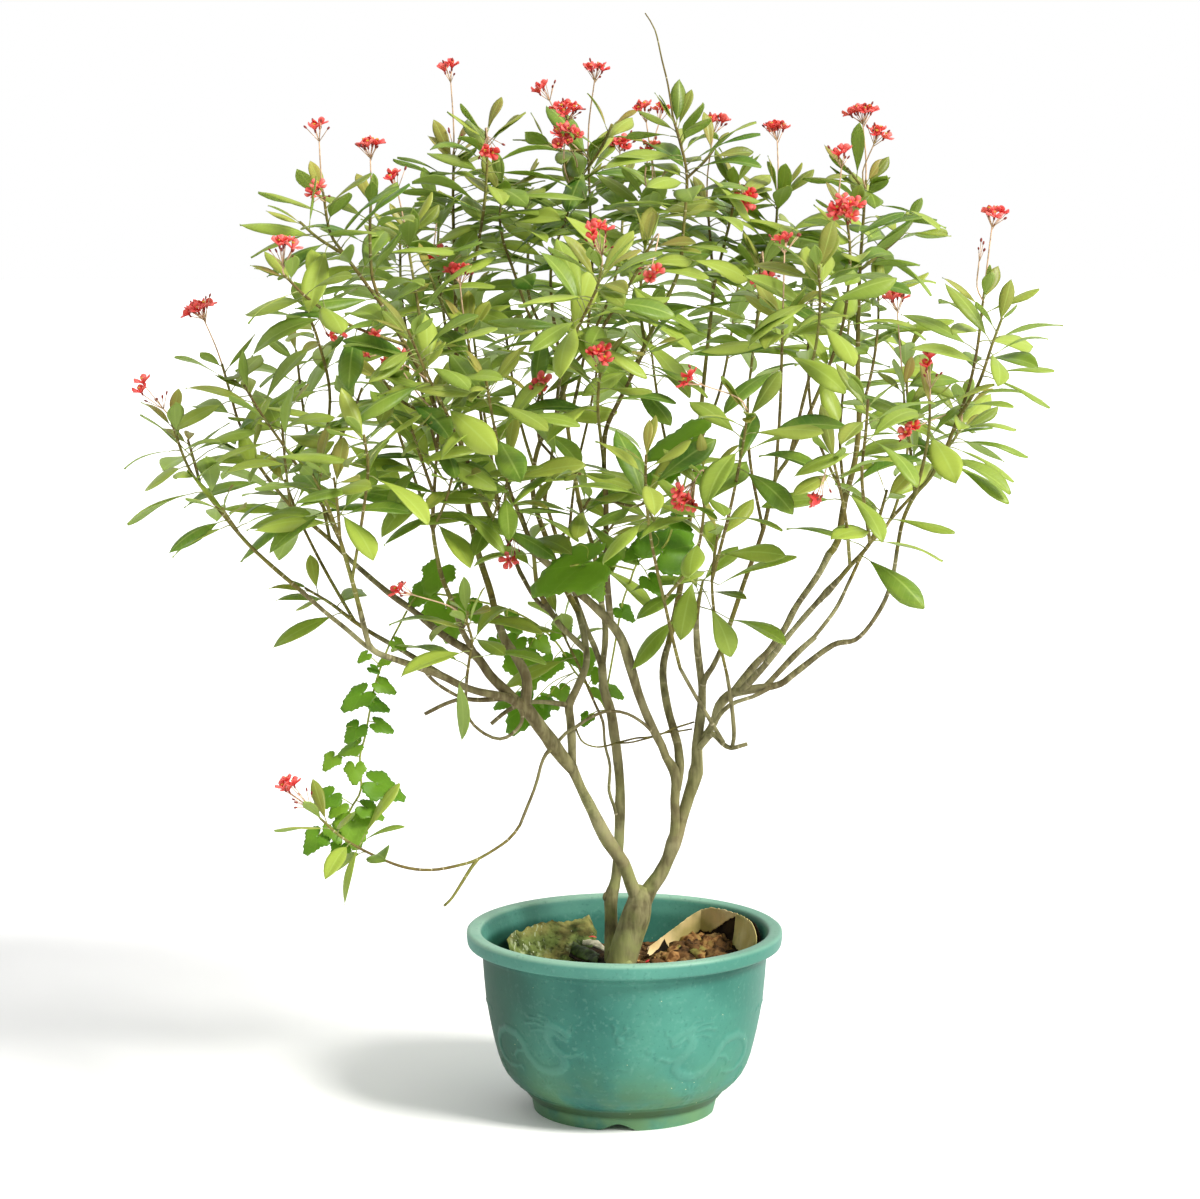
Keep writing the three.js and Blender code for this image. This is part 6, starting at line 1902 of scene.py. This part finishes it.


# Lumps of soil and moss heaped up at the right: (x, y, size, look). The two near-black lumps by the wall are
# painted shade inside the heap.
CLODS = [
    (60, 70, 15, "soil"), (84, 92, 18, "clod"), (112, 104, 22, "soil"), (142, 112, 26, "clod"),
    (170, 86, 26, "soil"), (128, 134, 30, "soil"), (98, 122, 22, "clod"), (190, 56, 22, "clod"),
    (70, 96, 14, "soil"), (154, 140, 34, "clod"), (184, 112, 32, "soil"), (176, 136, 36, "soil"),
    (134, 164, 30, "clod"), (198, 84, 28, "dark sheet"), (200, 108, 30, "dark sheet"),
    (108, 150, 24, "soil"), (164, 112, 22, "moss"), (122, 112, 15, "moss"), (92, 138, 14, "moss"),
    (146, 88, 16, "clod"), (48, 60, 11, "clod"), (30, 84, 9, "soil"), (-60, 60, 10, "soil"),
    (108, 70, 12, "soil"), (66, 116, 12, "soil"), (208, 50, 18, "soil"),
]
# How far from the pot's axis the clods may reach, in metres
INSIDE_WALL = 0.238
CLOD_FLATNESS = 0.72
# Clods larger than this have more corners
LARGE_CLOD = 8


def add_clod(piece, x, y, size, draw, look, lift=0.25):
    """A rough lump of soil, lying a little way into the ground."""
    centre = Vector((x, y, ground_height(x, y) + lift * size)) * MM
    rows, sides = (12, 20) if size > LARGE_CLOD else (5, 7)
    start = len(piece.corners)
    add_ball(piece, centre, (size * MM, size * CLOD_FLATNESS * MM), look, UP, rows, sides)
    shift = Vector((draw(), draw(), draw())) * 20
    for k in range(start, len(piece.corners)):
        out = piece.corners[k] - centre
        way = out / (size * MM)
        lumps = 0.42 * noise.noise(way * 1.3 + shift) + 0.34 * noise.noise(way * 3.5 + shift)
        spot = centre + out * (1 + lumps + 0.2 * noise.noise(way * 9 + shift))
        inward = min(1, INSIDE_WALL / math.hypot(spot.x, spot.y))
        piece.corners[k] = Vector((spot.x * inward, spot.y * inward, spot.z))


# The mossy mat: (x, y, z) along its upper edge and (x, y) along its front edge on the soil
MAT = [
    ((-211, 76, 282), (-196, 54)), ((-194, 112, 291), (-178, 60)), ((-172, 142, 292), (-158, 66)),
    ((-146, 162, 294), (-136, 70)), ((-120, 180, 292), (-114, 74)), ((-94, 190, 292), (-92, 76)),
    ((-63, 195, 300), (-72, 78)), ((-49, 186, 270), (-56, 82)),
]
# Pieces at the mat's right end, as (back edge, front edge, bulge, look): a near-black plate of painted shade
# in the hollow, a rolled mossy film over it and a pale scrap behind them
FLAPS = [
    ([(-94, 141, 254), (-72, 141, 254), (-51, 144, 254), (-33, 133, 254)],
     [(-99, 77, 253), (-77, 40, 253), (-56, 11, 253), (-33, -3, 253)], 1, "dark sheet"),
    ([(-90, 122, 266), (-74, 88, 267), (-56, 66, 266), (-43, 49, 260)],
     [(-97, 95, 256), (-81, 58, 256), (-65, 28, 256), (-49, 6, 256)], 6, "mossy film"),
    ([(-74, 120, 272), (-61, 116, 274), (-47, 108, 273), (-33, 77, 266)],
     [(-75, 114, 268), (-63, 99, 268), (-51, 87, 268), (-33, 66, 264)], 3, "scrap"),
]
MAT_STEPS = (60, 120)
MAT_THICKNESS = 0.004
MAT_ABOVE_SOIL = 10
FLAP_STEPS = 24
FLAP_THICKNESS = 0.002


def along_list(rows, share):
    """The values at a share of the way along a list of equal rows."""
    marks = np.linspace(0, 1, len(rows))
    return [float(np.interp(share, marks, column)) for column in zip(*rows)]


def mat_spot(u, v):
    """A place on the mat, from its front edge to its upper edge and from left to right."""
    upper_edge, front_edge = zip(*MAT)
    upper, front = along_list(upper_edge, v), along_list(front_edge, v)
    x, y = mix(front[0], upper[0], u), mix(front[1], upper[1], u)
    ground = SOIL_LEVEL + ground_rise(x, y) + MAT_ABOVE_SOIL
    fold = 4 * math.sin(9 * v + 4 * u) * math.sin(math.pi * u)
    rise = mix(0.25 * u, 1, smooth(0.25, 1.05, u))
    crease = abs(noise.noise(Vector((x / 38 + y / 90, y / 60 - x / 80, 1.7))))
    crumple = 9 * crease - 3 + 2.2 * bumpy(x, y, 12, 2) + bumpy(x, y, 4, 5)
    torn = 3 * noise.noise(Vector((x / 6, 3, 0.5))) * smooth(0.9, 1, u)
    y += 6 * noise.noise(Vector((x / 9, 0.7, 3))) * (1 - u)
    return Vector((x, y, mix(ground, upper[2], rise) + fold + crumple + torn)) * MM


def add_flap(piece, back, front, bulge, look):
    """A curved plate between a back edge and a front edge, a little crumpled."""

    def spot_at(u, v):
        near, far = Vector(along_list(front, v)), Vector(along_list(back, v))
        spot = near.lerp(far, u)
        crumple = 3 * noise.noise(spot / 16) + noise.noise(spot / 5)
        return (spot + UP * (bulge * math.sin(math.pi * u) + crumple)) * MM

    add_cover(piece, spot_at, FLAP_STEPS, FLAP_STEPS, FLAP_THICKNESS, look)


def build_mat():
    piece = Piece()
    add_cover(piece, mat_spot, *MAT_STEPS, MAT_THICKNESS, "moss")
    for flap in FLAPS:
        add_flap(piece, *flap)
    piece.make("mossy_mat_look", "moss", ["mossy_mat"])


# The torn sheet against the wall, as (x, y, upper edge, lower edge)
SHEET = [
    (46, 118, 260, 246), (82, 152, 279, 248), (126, 190, 303, 250), (144, 195, 312, 250),
    (160, 184, 318, 250), (186, 155, 321, 248), (204, 130, 320, 246), (224, 100, 322, 245),
    (243, 62, 320, 243), (245, -14, 297, 242),
]
# Where the tan face of it is torn off: the lower edge over x, left of the turned-down end
TORN_EDGE = [
    (46, 250), (56, 245), (67, 254), (76, 270), (84, 257), (92, 250), (102, 246), (112, 254), (122, 264),
    (134, 268), (146, 274), (156, 272), (164, 275), (176, 286), (186, 297), (198, 309), (208, 316),
]
TURNED_DOWN_FROM = 208
TURNED_DOWN_HEM = 10
SHEET_STATIONS = 151
SHEET_STEPS = 16
SHEET_THICKNESS = 0.0012
# How far inward from the wall the layers lie, and how much lower the dark layer of painted shade behind ends
BEHIND_INWARD = 1.2
TAN_INWARD = 3.2
MOSSY_INWARD = 8
BEHIND_LOWER = 3
SHEET_RADIUS = 243
FOOT_INWARD = 14


def sheet_spot(x, y, z, upper, lower, inward):
    """A place on the sheet: it leans on the wall above and stands off it below."""
    radius = math.hypot(x, y)
    away = (z - lower) / max(upper - lower, 1)
    buckle = 4 * noise.noise(Vector((x / 30, y / 30, z / 50)))
    stand = FOOT_INWARD * (1 - away) ** 2
    scale = (min(radius, SHEET_RADIUS) - inward - stand - max(0, buckle)) / radius
    return Vector((x * scale, y * scale, z)) * MM


def add_sheet(piece, stations, look, inward, lower_at, cut=0):
    """One layer of the sheet: its lower edge is given by a function, and its upper edge is cut by so much."""
    last = len(stations) - 1

    def spot_at(u, v):
        x, y, upper, lower = stations[round(v * last)]
        top = upper - cut + 1.5 * bumpy(x, y, 5, 2)
        return sheet_spot(x, y, mix(lower_at(x, y, lower), top, u), upper, lower, inward)

    def lift_at(v):
        x, y = stations[round(v * last)][:2]
        return Vector((-x, -y, 0)).normalized()

    add_cover(piece, spot_at, SHEET_STEPS, last, SHEET_THICKNESS, look, lift_at)


def torn_lower(x, y, lower):
    """The ragged lower edge of the tan layer."""
    ragged = 3 * bumpy(x, y, 6, 5) + 1.5 * bumpy(x, y, 2, 9)
    return float(np.interp(x, *zip(*TORN_EDGE))) + ragged


def build_sheet():
    piece = Piece()
    shares = np.linspace(0, len(SHEET) - 1, SHEET_STATIONS)
    stations = list(zip(*[np.interp(shares, range(len(SHEET)), column) for column in zip(*SHEET)]))
    band = [row for row in stations if row[0] <= TURNED_DOWN_FROM]
    turned_down = [row for row in stations if row[0] >= TURNED_DOWN_FROM]
    # The dark layer behind is painted shade, seen in the hollow below the tan layer's torn edge
    add_sheet(piece, stations, "dark sheet", BEHIND_INWARD, lambda x, y, lower: lower, BEHIND_LOWER)
    add_sheet(piece, band, "sheet", TAN_INWARD, torn_lower)
    add_sheet(piece, turned_down, "mossy sheet", MOSSY_INWARD, lambda x, y, lower: lower + TURNED_DOWN_HEM)
    piece.make("torn_sheet_look", "sheet", ["torn_sheet"])


# Fallen petals, chips and dry bits: (x, y, look, length, turn)
LITTER = [
    (38, 96, "petal", 15, 0.4), (46, 60, "petal", 14, 2.0), (52, 66, "petal", 12, 1.2),
    (96, 86, "petal", 9, 2.6), (-64, 118, "petal", 15, 0.2), (66, 58, "chip", 12, 0.9),
    (-58, 112, "chip", 30, 2.9), (88, 64, "sheet", 16, 2.2), (120, 74, "sheet", 12, 0.5),
    (36, 62, "sheet", 13, 2.7), (150, 66, "sheet", 14, 1.6), (78, 40, "petal", 9, 0.7),
    (-46, 170, "clod", 22, 0.3), (-40, 150, "clod", 18, 2.2), (58, 96, "clod", 22, 1.4),
    (70, 80, "stalk", 20, 0.8), (30, 88, "clod", 20, 2.4), (104, 62, "chip", 10, 1.9),
]
LITTER_SEED = 613
LITTER_HALF = 0.3
# How high bits lie over the soil's mean height, on the soil and on the mat
LITTER_ON_SOIL = 8
LITTER_ON_MAT = 40
DRY_STALKS = 46
DRY_STALK_RADII = (0.0009, 0.0009, 0.0006)
DRY_STALK_LENGTHS = (0.012, 0.035)
DRY_STALKS_WITHIN = (60, 215)


def add_litter(piece, x, y, look, length, turn, draw):
    way = Vector((math.cos(turn), math.sin(turn), 0.12 + 0.3 * draw())).normalized()
    on_mat = x < -60 and y > 110
    height = ground_height(x, y) + (LITTER_ON_MAT if on_mat else LITTER_ON_SOIL)
    foot = Vector((x, y, height)) * MM
    side = way.cross(UP).normalized()
    add_blade(piece, foot, way, side, length * MM, length * LITTER_HALF * MM, LEAF_SHAPE, look, 0.5, 0.3, 0.2)


def add_dry_stalk(piece, draw):
    """A thin dry stalk, lying somewhere behind the pot's middle."""
    turn, radius = draw() * TAU, mix(*DRY_STALKS_WITHIN, draw())
    x, y = on_ring(radius, turn)
    y = abs(y)
    start = Vector((x, y, ground_height(x, y) + 4)) * MM
    lean = draw() * TAU
    run = Vector((math.cos(lean), math.sin(lean), 0.25 * draw())) * mix(*DRY_STALK_LENGTHS, draw())
    end = start + run
    add_tube(piece, [start, start.lerp(end, 0.5) + UP * 0.002, end], DRY_STALK_RADII, 4, "stalk")


def build_litter():
    piece = Piece()
    draw = seeded(LITTER_SEED)
    for bit in LITTER:
        add_litter(piece, *bit, draw)
    for _ in range(DRY_STALKS):
        add_dry_stalk(piece, draw)
    piece.make("fallen_bits", "soil")


# A thin double runner that crosses the stems, as (across, down, depth)
RUNNERS = [
    [
        (576, 729, -30), (581, 740, -30), (588, 745, -28), (597, 747, -14), (606, 746, 20), (616, 743, 38),
        (624, 741, 34), (637, 738, 14), (650, 737, -8), (664, 733, 20), (680, 731, 30), (692, 729, 40),
    ],
    [
        (616, 743, 38), (624, 743, 32), (633, 742, 18), (645, 739, 0), (652, 737, -8), (664, 733, 6),
        (672, 729, 14), (694, 722, 40),
    ],
]
RUNNER_RADIUS = 0.0017
RUNNER_LUMPS = 0.15


def build_runners():
    piece = Piece()
    for stations in RUNNERS:
        add_even_tube(piece, rounded(placed(stations), 0.01), RUNNER_RADIUS, 6, "young stem", RUNNER_LUMPS)
    piece.make("thin_runners", "wood")


# Floor, light and camera

FLOOR_SIZE = 60
FLOOR_TONE = (250, 250, 250)
# The sun's strength, its breadth for soft shadows, its tone and the side that it shines from
SUN_STRENGTH = 4.2
SUN_ANGLE = 0.3
SUN_TONE = (1.0, 0.98, 0.93)
SUN_WAY = (0.62, -0.42, 0.66)
SENSOR_WIDTH = 36
SKY_TONE = (255, 255, 255)
SKY_BRIGHT_WAY = (0.5, 0.85, 0.2)
# From and to how far round the sky fades, and its strength at either end
SKY_FADE = (-0.9, 0.35, 0.4, 1.0)


def make_floor():
    bpy.ops.mesh.primitive_plane_add(size=FLOOR_SIZE)
    floor = bpy.context.object
    floor.name = "floor"
    made = Shader("floor", 0.9, 0.1)
    made.tone = colour(*FLOOR_TONE)
    floor.data.materials.append(made.paint())


def make_sun():
    """Soft, even light from far off."""
    data = bpy.data.lights.new("key", "SUN")
    data.energy = SUN_STRENGTH
    data.angle = SUN_ANGLE
    data.color = SUN_TONE
    lamp = bpy.data.objects.new("key", data)
    lamp.rotation_mode = "QUATERNION"
    lamp.rotation_quaternion = Vector(SUN_WAY).to_track_quat("Z", "Y")
    bpy.context.scene.collection.objects.link(lamp)


def make_camera():
    data = bpy.data.cameras.new("camera")
    data.sensor_width = SENSOR_WIDTH
    data.lens = VIEW_FOCAL / VIEW_WIDTH * SENSOR_WIDTH
    data.clip_end = 100
    camera = bpy.data.objects.new("camera", data)
    camera.location = Vector((VIEW_ASIDE, -VIEW_DISTANCE, VIEW_HEIGHT)) * MM
    camera.rotation_euler = (math.pi / 2 - VIEW_TILT, 0, 0)
    bpy.context.scene.collection.objects.link(camera)
    bpy.context.scene.camera = camera


def make_sky():
    """A pale sky, brightest behind the plant and on its right, and dimmer on its left."""
    world = bpy.data.worlds.new("sky")
    world.use_nodes = True
    nodes, links = world.node_tree.nodes, world.node_tree.links
    way = nodes.new("ShaderNodeTexCoord").outputs["Generated"]
    facing = nodes.new("ShaderNodeVectorMath")
    facing.operation = "DOT_PRODUCT"
    facing.inputs[1].default_value = SKY_BRIGHT_WAY
    links.new(way, facing.inputs[0])
    fade = nodes.new("ShaderNodeMapRange")
    for value, socket in zip(SKY_FADE, list(fade.inputs)[1:5]):
        socket.default_value = value
    links.new(facing.outputs["Value"], fade.inputs[0])
    links.new(fade.outputs[0], nodes["Background"].inputs["Strength"])
    nodes["Background"].inputs["Color"].default_value = colour(*SKY_TONE)
    bpy.context.scene.world = world
    bpy.context.scene.view_settings.view_transform = "Standard"


# All of it, in its order
build_pot()
build_soil()
build_mat()
build_sheet()
build_litter()
build_wood()
build_runners()
build_sprays()
build_vine()
make_floor()
make_sun()
make_camera()
make_sky()
